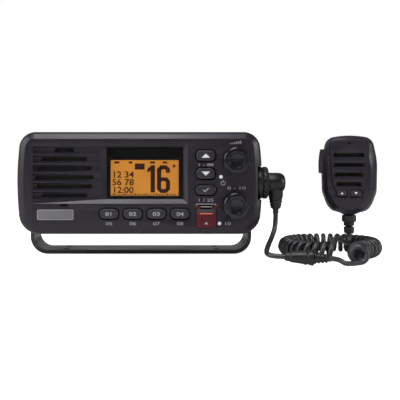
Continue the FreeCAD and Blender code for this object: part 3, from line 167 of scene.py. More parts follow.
def drift_group():
    """Slow change of tone over a surface, from 0 to 1."""
    group, inlet, outlet = new_group("tone drift", [("Scale", 40.0)], ["Tone"])
    place = group.nodes.new("ShaderNodeTexCoord")
    noise = group.nodes.new("ShaderNodeTexNoise")
    noise.inputs["Detail"].default_value = DRIFT_DETAIL
    spread = group.nodes.new("ShaderNodeMapRange")
    spread.inputs["From Min"].default_value = DRIFT_FROM
    spread.inputs["From Max"].default_value = DRIFT_TO
    links = group.links
    links.new(place.outputs["Object"], noise.inputs["Vector"])
    links.new(inlet.outputs["Scale"], noise.inputs["Scale"])
    links.new(noise.outputs["Fac"], spread.inputs["Value"])
    links.new(spread.outputs["Result"], outlet.inputs["Tone"])
    return group


DRIFT = drift_group()
print("group", DRIFT.name)

# %% [markdown]
# The radio has a satin charcoal case, glossier knobs, matt rubber, black paint and a little bare metal.
# They differ only in their two tones, their gloss and the size and depth of their grain, so one function
# builds every opaque finish from the two groups. The display's film glows as well: it takes the same finish
# and feeds its colour into the emission too.

# %% Finish builder
BUMP_STRENGTH = 0.4
GLOSS_SPREAD = 0.1
COLOUR_A = 6
COLOUR_B = 7
COLOUR_OUT = 2
FILM_DRIFT = 60.0


def finish(name, dark, light, rough, grain=1500.0, depth=0.00002, drift=40.0, metal=0.0, shine=0.5):
    """Opaque procedural finish: tone drifts from dark to light, grain feeds a bump of a depth in metres.

    A Mix node keeps its colour sockets after those for numbers, so they are reached by their place.
    """
    material = bpy.data.materials.new(name)
    material.use_nodes = True
    tree = material.node_tree
    shader = tree.nodes["Principled BSDF"]
    tone = tree.nodes.new("ShaderNodeGroup")
    tone.node_tree = DRIFT
    tone.inputs["Scale"].default_value = drift
    colours = tree.nodes.new("ShaderNodeMix")
    colours.data_type = "RGBA"
    colours.inputs[COLOUR_A].default_value = (*dark, 1.0)
    colours.inputs[COLOUR_B].default_value = (*light, 1.0)
    gloss = tree.nodes.new("ShaderNodeMapRange")
    gloss.inputs["To Min"].default_value = rough * (1 - GLOSS_SPREAD)
    gloss.inputs["To Max"].default_value = min(1.0, rough * (1 + GLOSS_SPREAD))
    pebble = tree.nodes.new("ShaderNodeGroup")
    pebble.node_tree = GRAIN
    pebble.inputs["Scale"].default_value = grain
    bump = tree.nodes.new("ShaderNodeBump")
    bump.inputs["Strength"].default_value = BUMP_STRENGTH
    bump.inputs["Distance"].default_value = depth
    links = tree.links
    links.new(tone.outputs["Tone"], colours.inputs["Factor"])
    links.new(colours.outputs[COLOUR_OUT], shader.inputs["Base Color"])
    links.new(tone.outputs["Tone"], gloss.inputs["Value"])
    links.new(gloss.outputs["Result"], shader.inputs["Roughness"])
    links.new(pebble.outputs["Height"], bump.inputs["Height"])
    links.new(bump.outputs["Normal"], shader.inputs["Normal"])
    shader.inputs["Metallic"].default_value = metal
    shader.inputs["Specular IOR Level"].default_value = shine
    return material


def glowing(name, dark, light, rough, strength):
    """Back-lit film: a finish that also sends out its own two close tones."""
    material = finish(name, dark, light, rough, drift=FILM_DRIFT)
    tree = material.node_tree
    shader = tree.nodes["Principled BSDF"]
    mixed = next(node for node in tree.nodes if node.bl_idname == "ShaderNodeMix")
    tree.links.new(mixed.outputs[COLOUR_OUT], shader.inputs["Emission Color"])
    shader.inputs["Emission Strength"].default_value = strength
    return material


print("a finish joins", GRAIN.name, "and", DRIFT.name)

# %% [markdown]
# The real radio has about as many finishes as it has materials, so a table with one finish to a slot name
# holds them all, and a look can be changed in one place. The two colours of each were set by rendering it
# and comparing the tone with the photograph. The case is a charcoal with a touch of violet, the bracket and
# the knobs are darker, and what nobody sees from outside has the usual colour of its material.

# %% Finishes
FINISHES = {
    "case_plastic": finish("satin charcoal case", (0.0140, 0.0106, 0.0172), (0.0190, 0.0148, 0.0228), 0.33,
                           grain=2200, shine=0.36),
    "cast_metal": finish("black painted casting", (0.022, 0.022, 0.024), (0.032, 0.032, 0.034), 0.46,
                         grain=900, depth=0.00004),
    "bracket_paint": finish("black bracket paint", (0.0075, 0.0068, 0.0082), (0.0115, 0.0105, 0.0125), 0.38,
                            grain=1100, depth=0.00003, shine=0.8),
    "knob_plastic": finish("charcoal knob", (0.0060, 0.0048, 0.0078), (0.0090, 0.0075, 0.0115), 0.22,
                           grain=2500),
    "key_rubber": finish("charcoal key rubber", (0.0170, 0.0145, 0.0200), (0.0225, 0.0195, 0.0260), 0.42,
                         grain=3000),
    "black_rubber": finish("black rubber", (0.0080, 0.0070, 0.0090), (0.0125, 0.0112, 0.0138), 0.36,
                           grain=1800),
    "plug_plastic": finish("black plug plastic", (0.0065, 0.0058, 0.0074), (0.0100, 0.0092, 0.0110), 0.36,
                           grain=2000, shine=0.4),
    "cord_rubber": finish("curly cord rubber", (0.0150, 0.0128, 0.0168), (0.0230, 0.0200, 0.0250), 0.40,
                          grain=1600, shine=0.7),
    "red_cover": finish("smoked red cover", (0.085, 0.012, 0.018), (0.105, 0.017, 0.024), 0.42, grain=2600,
                        shine=0.15),
    "red_key": finish("red distress key", (0.36, 0.03, 0.02), (0.42, 0.04, 0.025), 0.35, grain=2600),
    "plate_grey": finish("grey name plate", (0.115, 0.111, 0.121), (0.155, 0.150, 0.163), 0.36, grain=2600),
    "board": finish("green circuit board", (0.010, 0.07, 0.03), (0.014, 0.10, 0.04), 0.45),
    "steel": finish("plated steel", (0.50, 0.50, 0.50), (0.62, 0.62, 0.61), 0.3, grain=2600, metal=1.0),
    "brass_insert": finish("turned brass", (0.60, 0.42, 0.17), (0.70, 0.50, 0.22), 0.3, metal=1.0),
    "speaker_paper": finish("pressed speaker paper", (0.010, 0.010, 0.010), (0.016, 0.016, 0.016), 0.8,
                            grain=700, depth=0.0001),
    "mesh": finish("black dust cloth", (0.003, 0.003, 0.003), (0.005, 0.005, 0.005), 0.9, grain=5200,
                   depth=0.0001),
    "display": glowing("lit amber film", (0.60, 0.235, 0.030), (0.66, 0.262, 0.036), 0.4, 1.35),
}
print("finishes", len(FINISHES))

# %% [markdown]
# The display's window is a lens of smoked plastic with a sharp gloss. Real glass with refraction would be
# slow and noisy over such a thin gap, so the lens is a dark finish made partly see-through by its alpha,
# and the lit film behind it shows. The printed marks need plain inks in four tones.

# %% Lens and inks
MIRROR_DEPTH = 0.0000005
LENS_IOR = 1.4
LENS_ALPHA = 0.3
lens_finish = finish("smoked display lens", (0.003, 0.003, 0.004), (0.006, 0.006, 0.007), 0.06,
                     depth=MIRROR_DEPTH)
lens_shader = lens_finish.node_tree.nodes["Principled BSDF"]
lens_shader.inputs["IOR"].default_value = LENS_IOR
lens_shader.inputs["Alpha"].default_value = LENS_ALPHA
FINISHES["lens"] = lens_finish
INK_WHITE = finish("white ink", (0.72, 0.72, 0.74), (0.82, 0.82, 0.84), 0.5)
INK_LIGHT = finish("pale grey ink", (0.32, 0.32, 0.34), (0.38, 0.38, 0.40), 0.5)
INK_GREY = finish("grey ink", (0.24, 0.24, 0.26), (0.29, 0.29, 0.31), 0.5)
INK_DARK = finish("dark display ink", (0.085, 0.016, 0.011), (0.10, 0.020, 0.013), 0.6)
# Black for the print on the lens's back, also used as painted shade on the red flap.
PRINT_AND_SHADE_BLACK = finish("black lens print and painted shade", (0.004, 0.004, 0.005), (0.006, 0.006, 0.007), 0.3,
                    depth=MIRROR_DEPTH)
for node, obj in nodes.items():
    obj.data.materials.clear()
    obj.data.materials.append(FINISHES[node_slot[node]])
print("lens, inks and", len(nodes), "solids finished")

# %% [markdown]
# Moulded and cast parts have no sharp edges, and it is the thin line of light along an edge that tells the
# eye how big a thing is. A solid from the frame is made of loose triangles and is left alone. A copy of it
# gets its faces joined and its flat faces merged, and a bevel modifier then rounds every edge that turns by
# more than a set angle. The copy rides on the same body and stands for the solid.

# %% Rounded copies
MERGE_DISTANCE = 0.000002
FLAT_ANGLE = 0.8
BEVEL_SEGMENTS = 2
BEVEL_FROM_ANGLE = 20.0
SMOOTH_TO_ANGLE = 26.0


def only(obj):
    """Makes obj the one selected and active object."""
    bpy.ops.object.select_all(action="DESELECT")
    obj.select_set(True)
    bpy.context.view_layer.objects.active = obj


def rounded_copy(node, width, reshape=None):
    """Copy of a solid, reshaped if asked, with its edges rounded to the given width in millimetres."""
    piece = nodes[node].copy()
    piece.data = nodes[node].data.copy()
    piece.name = node + "_finish"
    piece.parent = None
    for key in list(piece.keys()):
        del piece[key]
    bpy.context.scene.collection.objects.link(piece)
    only(piece)
    bpy.ops.object.mode_set(mode="EDIT")
    bpy.ops.mesh.select_all(action="SELECT")
    bpy.ops.mesh.remove_doubles(threshold=MERGE_DISTANCE)
    bpy.ops.mesh.dissolve_limited(angle_limit=math.radians(FLAT_ANGLE))
    bpy.ops.object.mode_set(mode="OBJECT")
    if reshape:
        reshape(piece)
    bevel = piece.modifiers.new("edges", "BEVEL")
    bevel.width = width * MM
    bevel.segments = BEVEL_SEGMENTS
    bevel.limit_method = "ANGLE"
    bevel.angle_limit = math.radians(BEVEL_FROM_ANGLE)
    bpy.ops.object.modifier_apply(modifier="edges")
    bpy.ops.object.shade_smooth_by_angle(angle=math.radians(SMOOTH_TO_ANGLE))
    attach(piece, node_body[node])
    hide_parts(node)
    return piece


print("edges turning by more than", BEVEL_FROM_ANGLE, "degrees are rounded")

# %% [markdown]
# The microphone's chin is one round curve on the real object, but two corners with a flat between them on
# the solid. A subdivision modifier would round it, and everything else too. The function below cuts the
# copy into fan-shaped strips instead, so that it has points to move, and then moves the corners in and the
# flats out. Both shells of the microphone pass through it, so that their seam stays closed.

# %% Round chin
MIC_X = 157.3
MIC_Y = -33.0
MIC_YAW = math.radians(-13.0)
CHIN_MIDDLE_Z = 56.0
CHIN_REACH = 24.0
CHIN_REACH_LIMIT = 1.2
CHIN_FADE_POWER = 4
CHIN_CUTS = range(14, 88, 5)
CHIN_CORNERS = [(31.0, 18.0, 1.0), (51.0, 22.0, -0.9), (71.0, 18.0, 1.2)]


def soften_chin(piece):
    """Draws the corners of the microphone's chin in and the flats between them out, for one round outline.

    A place is (angle below the horizontal, half its spread, how far it goes in), in degrees and millimetres.
    """
    across = Vector((math.cos(MIC_YAW), math.sin(MIC_YAW), 0))
    middle = Vector((MIC_X, MIC_Y, CHIN_MIDDLE_Z)) * MM
    only(piece)
    bpy.ops.object.mode_set(mode="EDIT")
    for side in (-1, 1):
        for degrees in CHIN_CUTS:
            angle = math.radians(degrees)
            normal = across * side * math.sin(angle) + Vector((0, 0, math.cos(angle)))
            bpy.ops.mesh.select_all(action="SELECT")
            bpy.ops.mesh.bisect(plane_co=middle, plane_no=normal)
    bpy.ops.object.mode_set(mode="OBJECT")
    for vertex in piece.data.vertices:
        offset = vertex.co - middle
        x = offset.dot(across)
        if offset.z >= 0:
            continue
        below = math.degrees(math.atan2(-offset.z, abs(x)))
        reach = math.hypot(x, offset.z)
        inward = 0.0
        for degrees, spread, depth in CHIN_CORNERS:
            share = abs(below - degrees) / spread
            if share < 1:
                inward += depth * math.cos(share * math.pi / 2) ** 2
        inward *= min(CHIN_REACH_LIMIT, reach / (CHIN_REACH * MM)) ** CHIN_FADE_POWER
        vertex.co -= (across * x + Vector((0, 0, offset.z))) / reach * inward * MM


print("chin cuts", len(CHIN_CUTS), "to a side")

# %% [markdown]
# Each part has its own width of edge, in millimetres: knobs, shells and the bent bracket are softer, the
# name plate and the seams are sharper. Parts that aren't in the table are inside the radio or hardly seen,
# and keep the solid as it is.

# %% Edge widths
ROUNDED = {
    "front_housing": 0.25,
    "mounting_bracket": 0.4,
    "rear_chassis": 0.3,
    "volume_knob": 0.5,
    "squelch_knob": 0.5,
    "clamp_knob_left": 0.5,
    "clamp_knob_right": 0.5,
    "distress_cover": 0.25,
    "name_plate": 0.15,
    "plug_coupling_ring": 0.25,
    "mic_socket": 0.2,
    "mic_plug": 0.5,
    "plug_boot": 0.2,
    "coupler_body": 0.3,
    "coupler_boot": 0.25,
    "mic_front_shell": 0.3,
    "mic_rear_shell": 0.5,
    "mic_boot": 0.3,
    "talk_bar": 0.3,
    "mic_up_key": 0.2,
    "mic_down_key": 0.2,
    "mic_hanger_stud": 0.2,
    "antenna_socket": 0.2,
    "power_inlet": 0.2,
}
KEY_ROUNDING = 0.3
for node in nodes:
    if node.endswith("_key") and not node.startswith("mic"):
        ROUNDED[node] = KEY_ROUNDING
for node, width in ROUNDED.items():
    chin = soften_chin if node in ("mic_front_shell", "mic_rear_shell") else None
    piece = rounded_copy(node, width, reshape=chin)
    print(piece.name, len(piece.data.polygons))

# %% [markdown]
# A microphone cord is one round rubber cable. It hangs from the elbow plug, passes an in-line coupler, lies
# curled up on the table and rises into the microphone. Hundreds of hand-placed points would do, but a few
# control points of a NURBS spline give a smoother route that is easy to change. The straight lead, the
# short link and the tail each have a spline of their own, and one more is the middle line of the curls. The
# points are in millimetres.

# %% Cord routes
CORD_DIAMETER = 3.6
CURL_RADIUS = 5.45
CURL_PITCH = 5.45
CURL_END_SHARE = 0.4375
COUPLER_RUN_IN = 6.6
COUPLER_START = Vector((101.0, -81.5, 5.95))
COUPLER_END = Vector((131.0, -84.6, 5.15))
LEAD_IN = 6.4
LEAD_OUT = 6.0
coupler_axis = (COUPLER_END - COUPLER_START).normalized()
lead_points = [
    Vector((100.1, -46.0, 33.4)),
    Vector((100.1, -46.0, 24.2)),
    Vector((96.6, -52.0, 16.8)),
    Vector((92.4, -60.3, 11.0)),
    Vector((90.1, -68.6, 7.9)),
    Vector((90.1, -76.3, 6.6)),
    COUPLER_START - coupler_axis * COUPLER_RUN_IN,
    COUPLER_START,
]
tail_points = [
    Vector((146.5, -50.5, 14.9)),
    Vector((151.8, -42.5, 12.0)),
    Vector((155.9, -36.0, 10.2)),
    Vector((MIC_X, MIC_Y, 13.1)),
    Vector((MIC_X, MIC_Y, 17.3)),
]
curl_axis_points = [
    Vector((152.8, -82.5, 7.3)),
    Vector((153.6, -69.0, 7.3)),
    Vector((160.4, -55.5, 7.3)),
    Vector((171.5, -44.5, 7.3)),
    Vector((176.3, -30.0, 7.3)),
    Vector((171.0, -13.5, 7.3)),
    Vector((159.5, -2.5, 7.3)),
    Vector((143.0, 0.8, 7.3)),
    Vector((126.5, -3.5, 7.3)),
    Vector((114.5, -15.5, 7.3)),
    Vector((110.6, -32.0, 7.3)),
    Vector((114.8, -49.0, 7.3)),
    Vector((126.0, -61.0, 7.3)),
    Vector((138.0, -65.0, 7.3)),
]
print("control points", len(lead_points), len(tail_points), len(curl_axis_points))

# %% [markdown]
# The tubes and the curls need places along those routes. Blender works out the smooth line of a spline when
# it draws it, so a guide curve is made, turned into a mesh whose vertices lie on that line, and removed. A
# walk along these vertices then finds the place and the direction at any share of the length.

# %% Splines and walks
ROUTE_STEPS = 24
CURL_AXIS_STEPS = 60


def nurbs_curve(name, points, resolution):
    """Curve of one quadratic NURBS spline, clamped at its ends; points are in millimetres."""
    data = bpy.data.curves.new(name, "CURVE")
    data.dimensions = "3D"
    data.resolution_u = resolution
    spline = data.splines.new("NURBS")
    spline.points.add(len(points) - 1)
    for slot, point in zip(spline.points, points):
        slot.co = (*(point * MM), 1.0)
    spline.order_u = 3
    spline.use_endpoint_u = True
    obj = bpy.data.objects.new(name, data)
    bpy.context.scene.collection.objects.link(obj)
    return obj


def spline_points(name, points, resolution=ROUTE_STEPS):
    """Points read from the smooth line of a NURBS spline, in metres; the guide is then removed."""
    guide = nurbs_curve(name, points, resolution)
    bpy.context.view_layer.update()
    mesh = bpy.data.meshes.new_from_object(guide)
    line = [vertex.co.copy() for vertex in mesh.vertices]
    bpy.data.meshes.remove(mesh)
    bpy.data.objects.remove(guide)
    return line


def line_length(line):
    """Length of a line of points, in their own unit."""
    return sum((b - a).length for a, b in zip(line, line[1:]))


def walk(line, shares):
    """Points and directions at shares of the length of a line of points."""
    total = line_length(line)
    result = []
    index = 0
    passed = 0.0
    for share in shares:
        wanted = share * total
        step = (line[index + 1] - line[index]).length
        while passed + step < wanted and index < len(line) - 2:
            passed += step
            index += 1
            step = (line[index + 1] - line[index]).length
        part = min(1.0, (wanted - passed) / step)
        way = (line[index + 1] - line[index]).normalized()
        result.append((line[index].lerp(line[index + 1], part), way))
    return result


lead_line = spline_points("lead_route", lead_points)
print("lead length", round(line_length(lead_line) / MM, 1), "mm")

# %% [markdown]
# Such a cord is wound on a rod and heated, and then keeps its curls. An array of rings along a curve would
# look close, but its rings don't join, and this cord is followed from end to end. So the loop below walks
# along the middle line and adds a radius that turns round it, a few dozen points to a turn, wound left-
# handed as in the photograph. Link, curls and tail are then one line.

# %% Curls
POINTS_PER_TURN = 28
axis_line = spline_points("curl_axis", curl_axis_points, CURL_AXIS_STEPS)
turns = round(line_length(axis_line) / MM / CURL_PITCH) + CURL_END_SHARE
count = int(turns * POINTS_PER_TURN) + 1
shares = [i / (count - 1) for i in range(count)]
UP = Vector((0, 0, 1))
curl_line = []
for share, (centre, way) in zip(shares, walk(axis_line, shares)):
    phase = -math.pi / 2 - 2 * math.pi * turns * share
    left = UP.cross(way).normalized()
    curl_line.append(centre + (left * math.cos(phase) + UP * math.sin(phase)) * CURL_RADIUS * MM)
start_way = (curl_line[1] - curl_line[0]).normalized()
end_way = (curl_line[-1] - curl_line[-2]).normalized()
link_end = curl_line[0] / MM - start_way * CORD_DIAMETER
tail_start = curl_line[-1] / MM + end_way * CORD_DIAMETER
link_points = [COUPLER_END, COUPLER_END + coupler_axis * LEAD_IN, link_end - start_way * LEAD_IN, link_end]
tail_route = [tail_start, tail_start + end_way * LEAD_OUT] + tail_points
link_line = spline_points("link_route", link_points)
tail_line = spline_points("tail_route", tail_route)
curly_line = link_line + curl_line + tail_line
print("turns", round(turns, 2), "length", round(line_length(curly_line) / MM, 1), "mm")

# %% [markdown]
# A cable is its centre line with a round section, which a curve's own bevel makes. The curve is turned into
# a mesh. The lead is fixed to the radio at its top and to the table at its foot; its mesh is left in place
# on no body, and the curly cord rides on the base.

# %% Cord tubes
LEAD_ROUNDNESS = 6
CURL_ROUNDNESS = 4
TUBE_SMOOTH_TO = 50.0


def tube(name, line, roundness):
    """Round mesh tube along a line of points in metres."""
    data = bpy.data.curves.new(name, "CURVE")
    data.dimensions = "3D"
    data.resolution_u = 1
    data.bevel_depth = CORD_DIAMETER / 2 * MM
    data.bevel_resolution = roundness
    data.use_fill_caps = True
    spline = data.splines.new("POLY")
    spline.points.add(len(line) - 1)
    for slot, point in zip(spline.points, line):
        slot.co = (*point, 1.0)
    obj = bpy.data.objects.new(name, data)
    bpy.context.scene.collection.objects.link(obj)
    only(obj)
    bpy.ops.object.convert(target="MESH")
    obj = bpy.context.object
    bpy.ops.object.shade_smooth_by_angle(angle=math.radians(TUBE_SMOOTH_TO))
    obj.data.materials.clear()
    obj.data.materials.append(FINISHES["cord_rubber"])
    return obj


lead = tube("lead", lead_line, LEAD_ROUNDNESS)
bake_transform(lead)
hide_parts("lead_cord")
curly = tube("curly_cord_tube", curly_line, CURL_ROUNDNESS)
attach(curly, "base")
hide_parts("link_cord", "curly_cord", "cord_tail")
print("cord faces", len(lead.data.polygons), len(curly.data.polygons))

# %% [markdown]
# The legends on a radio are printed or moulded in. A picture on the surface would do it, but needs a file
# and blurs close by, so each mark here is a thin plate of ink. A flat closed curve makes any outline, also
# one with holes, and text makes numbers. Both are drawn in X and Y, turned into a mesh and then stood
# upright on the panel, and the turn is applied, so that each mark ends at the origin, unturned.

# %% Flat marks
INK_THICKNESS = 0.04


def stand_up(obj, y, finish_used, body):
    """Applies the place of a flat mark drawn in X and Y, so that it stands in X and Z at depth y (mm)."""
    only(obj)
    bpy.ops.object.convert(target="MESH")
    obj = bpy.context.object
    obj.rotation_euler = (math.pi / 2, 0, 0)
    obj.location = (obj.location.x, y * MM, obj.location.z)
    bpy.ops.object.transform_apply(location=True, rotation=True, scale=True)
    obj.data.materials.clear()
    obj.data.materials.append(finish_used)
    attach(obj, body)
    return obj


def flat_mark(name, outlines, y, finish_used, body="radio", thick=INK_THICKNESS):
    """Flat plate bounded by closed outlines of (x, z) in mm; an outline inside another is a hole."""
    data = bpy.data.curves.new(name, "CURVE")
    data.dimensions = "2D"
    data.fill_mode = "BOTH"
    data.extrude = thick / 2 * MM
    for outline in outlines:
        spline = data.splines.new("POLY")
        spline.points.add(len(outline) - 1)
        for slot, (x, z) in zip(spline.points, outline):
            slot.co = (x * MM, z * MM, 0, 1)
        spline.use_cyclic_u = True
    obj = bpy.data.objects.new(name, data)
    bpy.context.scene.collection.objects.link(obj)
    return stand_up(obj, y, finish_used, body)


print("a mark is", INK_THICKNESS, "mm thick")

# %% [markdown]
# The marks need only a few shapes. A disc and a rectangle with round corners are worked out point by point,
# so that their number of points stays low. Digits come from Blender's own text, since drawing each one by
# hand would take long and gain nothing. Text can be stretched and swollen, which makes it look like the
# wide, strong digits of a panel.

# %% Outlines and numbers
DIGIT_SHARE = 0.7
DIGIT_STEPS = 3


def round_outline(x, z, radius, count=32):
    """Outline of a disc."""
    angles = [2 * math.pi * i / count for i in range(count)]
    return [(x + radius * math.cos(angle), z + radius * math.sin(angle)) for angle in angles]


def rounded_box(x0, x1, z0, z1, radius, steps=6):
    """Outline of a rectangle with round corners."""
    points = []
    corners = [(x1 - radius, z1 - radius, 0), (x0 + radius, z1 - radius, 1), (x0 + radius, z0 + radius, 2),
               (x1 - radius, z0 + radius, 3)]
    for x, z, quarter in corners:
        for i in range(steps + 1):
            angle = math.pi / 2 * (quarter + i / steps)
            points.append((x + radius * math.cos(angle), z + radius * math.sin(angle)))
    return points


def number_mark(text, x, z, height, y, finish_used, width, bold, body="radio"):
    """Plain numbers centred on x, with their foot at z; width stretches them and bold swells them (mm)."""
    bpy.ops.object.text_add(location=(0, 0, 0))
    obj = bpy.context.object
    obj.name = "number_" + "".join(c if c.isalnum() else "_" for c in text) + f"_{len(bpy.data.objects)}"
    obj.data.body = text
    obj.data.align_x = "CENTER"
    obj.data.size = height / DIGIT_SHARE * MM
    obj.data.offset = bold * MM
    obj.data.extrude = INK_THICKNESS / 2 * MM
    obj.data.resolution_u = DIGIT_STEPS
    obj.scale = (width, 1, 1)
    obj.location = (x * MM, 0, z * MM)
    return stand_up(obj, y, finish_used, body)


print("points of a rounded box", len(rounded_box(-1, 1, -1, 1, 0.5)))

# %% [markdown]
# Each soft key has its mark on the front of its cap and moves with it when it is pressed. Where the cap's
# front lies is read from the solid, not typed, so the ink can't sink in or float. The real keys carry
# words; here plain numbers, arrows and a tick stand for them. A hair's gap keeps ink and cap from
# flickering.

# %% Key marks
FACE_Y = -58.5
INK_GAP = 0.03
KEY_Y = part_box("call_key")[0].y / MM
KEY_NUMBER_HEIGHT = 2.7
KEY_NUMBER_WIDTH = 1.4
KEY_NUMBER_BOLD = 0.06
ROW_KEYS = ["call_key", "weather_key", "clear_key", "quick_channel_key"]


def on_face(front_y):
    """Depth of a mark's middle that lies just in front of a face."""
    return front_y - INK_GAP - INK_THICKNESS / 2


def centre_of(node):
    """Middle of a solid's box, in millimetres."""
    low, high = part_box(node)
    return (low + high) / 2 / MM


def arrow(x, z, half_width, height):
    """Triangle that points up for a positive height and down for a negative one."""
    return [(x - half_width, z - height / 2), (x + half_width, z - height / 2), (x, z + height / 2)]


for number, node in enumerate(ROW_KEYS, start=1):
    centre = centre_of(node)
    number_mark(f"0{number}", centre.x, centre.z - KEY_NUMBER_HEIGHT / 2, KEY_NUMBER_HEIGHT, on_face(KEY_Y),
                INK_LIGHT, KEY_NUMBER_WIDTH, KEY_NUMBER_BOLD, node_body[node])
ARROW_HALF_WIDTH = 3.1
ARROW_HEIGHT = 3.0
for node, sign in (("channel_up_key", 1), ("channel_down_key", -1)):
    centre = centre_of(node)
    mark = arrow(centre.x, centre.z, ARROW_HALF_WIDTH, ARROW_HEIGHT * sign)
    flat_mark(node + "_arrow", [mark], on_face(KEY_Y), INK_WHITE, node_body[node])
enter = centre_of("enter_key")
TICK = [(-2.1, 0.1), (-0.6, -1.5), (2.3, 1.2), (1.8, 1.7), (-0.6, -0.5), (-1.6, 0.6)]
flat_mark("enter_tick", [[(enter.x + x, enter.z + z) for x, z in TICK]], on_face(KEY_Y), INK_LIGHT, "enter")
print("key marks on", len(ROW_KEYS) + 3, "keys")

# %% [markdown]
# The panel has legends beside its keys and knobs. Plain numbers stand in their places: small ones under the
# keys, and a range of channels and of power between the large ones. A table holds each number with its
# place, its height and how much it is stretched, so that all of them can be moved without touching the
# code.

# %% Panel numbers
PANEL_MARK_Y = on_face(FACE_Y)


def panel_mark(name, outlines, ink=None):
    """Plate of ink on the panel's face."""
    flat_mark(name, outlines, PANEL_MARK_Y, ink or INK_GREY)


PANEL_NUMBER_BOLD = 0.04
UNDER_KEYS_Z = 26.9
PANEL_NUMBERS = [(f"0{number}", centre_of(node).x, UNDER_KEYS_Z, 2.3, 1.5)
                 for number, node in enumerate(ROW_KEYS, start=5)]
PANEL_NUMBERS += [
    ("1 - 88", 47.7, 69.4, 2.0, 1.7),
    ("1 / 25", 47.7, 43.9, 2.2, 1.6),
    ("0 - 10", 70.0, 52.6, 2.2, 1.8),
    ("10", 63.4, 27.0, 2.3, 1.5),
]
for text, x, z, height, width in PANEL_NUMBERS:
    number_mark(text, x, z - height / 2, height, PANEL_MARK_Y, INK_GREY, width, PANEL_NUMBER_BOLD)
print("panel numbers", len(PANEL_NUMBERS))

# %% [markdown]
# Three kinds of sign need no words. A white dot shows where each knob is off, and a small disc makes it.
# Bars that rise to the right mean louder, which a loop draws with a little more height at each step. The
# ring that is open at the top, with a bar in the gap, is the sign for power: an outline that runs along the
# outer arc and back along the inner one makes the open ring.

# %% Panel signs
OFF_DOT_RADIUS = 1.3
for name, x, z in (("off_dot_upper", 58.8, 60.6), ("off_dot_lower", 57.7, 27.0)):
    panel_mark(name, [round_outline(x, z, OFF_DOT_RADIUS)], INK_WHITE)
BARS_LEFT = 64.9
BARS_FOOT = 84.3
BAR_PITCH = 1.5
BAR_WIDTH = 0.9
BAR_FIRST_TOP = 84.9
BAR_RISE = 0.35
for step in range(6):
    left = BARS_LEFT + step * BAR_PITCH
    top = BAR_FIRST_TOP + BAR_RISE * step
    panel_mark(f"loudness_bar_{step}", [rounded_box(left, left + BAR_WIDTH, BARS_FOOT, top, 0.1, 2)])


def arc_band(x, z, inner, outer, start, end, steps=20):
    """Outline of a part of a ring, from start to end in degrees."""
    angles = [math.radians(start + (end - start) * i / steps) for i in range(steps + 1)]
    outside = [(x + outer * math.cos(a), z + outer * math.sin(a)) for a in angles]
    inside = [(x + inner * math.cos(a), z + inner * math.sin(a)) for a in reversed(angles)]
    return outside + inside


panel_mark("power_ring", [arc_band(60.4, 56.2, 1.3, 1.8, 130, 410)])
panel_mark("power_bar", [rounded_box(60.1, 60.7, 56.4, 58.6, 0.1, 2)])
print("loudness bars and power sign drawn on the panel")

# %% [markdown]
# A segment display is a stack: a smoked lens, a black border printed on its back with a window in it, and
# behind that a lit amber film with dark segments. Drawing all of it as one picture would lose the depth
# that shows from the side, so each layer is a thin plate at its own depth.

# %% Display
BORDER_DEPTH = 0.08
BORDER_THICKNESS = 0.06
SEGMENT_GAP = 0.04
SEGMENT_THICKNESS = 0.03
FILM_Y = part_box("lcd_panel")[0].y / MM
LENS_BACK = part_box("display_lens")[1].y / MM
WINDOW = (-21.1, 28.3, 46.8, 72.7)
BORDER = (-24.6, 32.4, 43.9, 82.9)
border = rounded_box(*BORDER, 1.2)
window = rounded_box(*WINDOW, 0.6)
flat_mark("lens_border", [border, window], LENS_BACK + BORDER_DEPTH, PRINT_AND_SHADE_BLACK,
          thick=BORDER_THICKNESS)
print("film and lens are", round(FILM_Y - LENS_BACK, 2), "mm apart")

# %% [markdown]
# The channel is what everybody on board reads from across the cabin, so its number fills the film. Real
# segment digits have cut corners, which no typeface here has, so its two digits are outlines of their own.
# The three small rows to its left are plain digits for a place and a time.

# %% Channel and rows
def lcd_mark(name, *outlines):
    """Dark segment on the film."""
    flat_mark(name, outlines, FILM_Y - SEGMENT_GAP, INK_DARK, thick=SEGMENT_THICKNESS)


ONE = [(7.9, 49.1), (11.1, 49.1), (11.1, 69.0), (8.7, 69.0), (5.6, 66.2), (5.6, 63.4), (7.9, 65.0)]
SIX = [(12.6, 51.3), (15.2, 48.7), (19.5, 48.7), (22.1, 51.3), (22.1, 57.6), (19.8, 60.1), (15.7, 60.1),
       (15.7, 65.0), (16.6, 66.0), (18.2, 66.0), (19.1, 65.0), (19.1, 63.4), (22.1, 63.4), (22.1, 66.3),
       (19.5, 68.9), (15.2, 68.9), (12.6, 66.3)]
lcd_mark("channel_one", ONE)
lcd_mark("channel_six", SIX, rounded_box(15.6, 19.1, 51.6, 57.4, 1.0))
ROWS = ["12 34", "56 78", "12:00"]
ROW_MIDDLE_X = -12.2
TOP_ROW_Z = 60.0
ROW_PITCH = 5.6
ROW_HEIGHT = 4.5
ROW_WIDTH = 1.1
ROW_BOLD = 0.12
for row, text in enumerate(ROWS):
    number_mark(text, ROW_MIDDLE_X, TOP_ROW_Z - row * ROW_PITCH, ROW_HEIGHT, FILM_Y - SEGMENT_GAP, INK_DARK,
                ROW_WIDTH, ROW_BOLD)
print("rows on the film", len(ROWS))

# %% [markdown]
# Small signs run along the film's upper and lower edge: a scale of ticks with every fourth one longer, four
# short icons, a box for the power level and a star. At the size of a photograph they are only specks, so
# plain boxes in the right places are enough, and a loop makes what repeats.

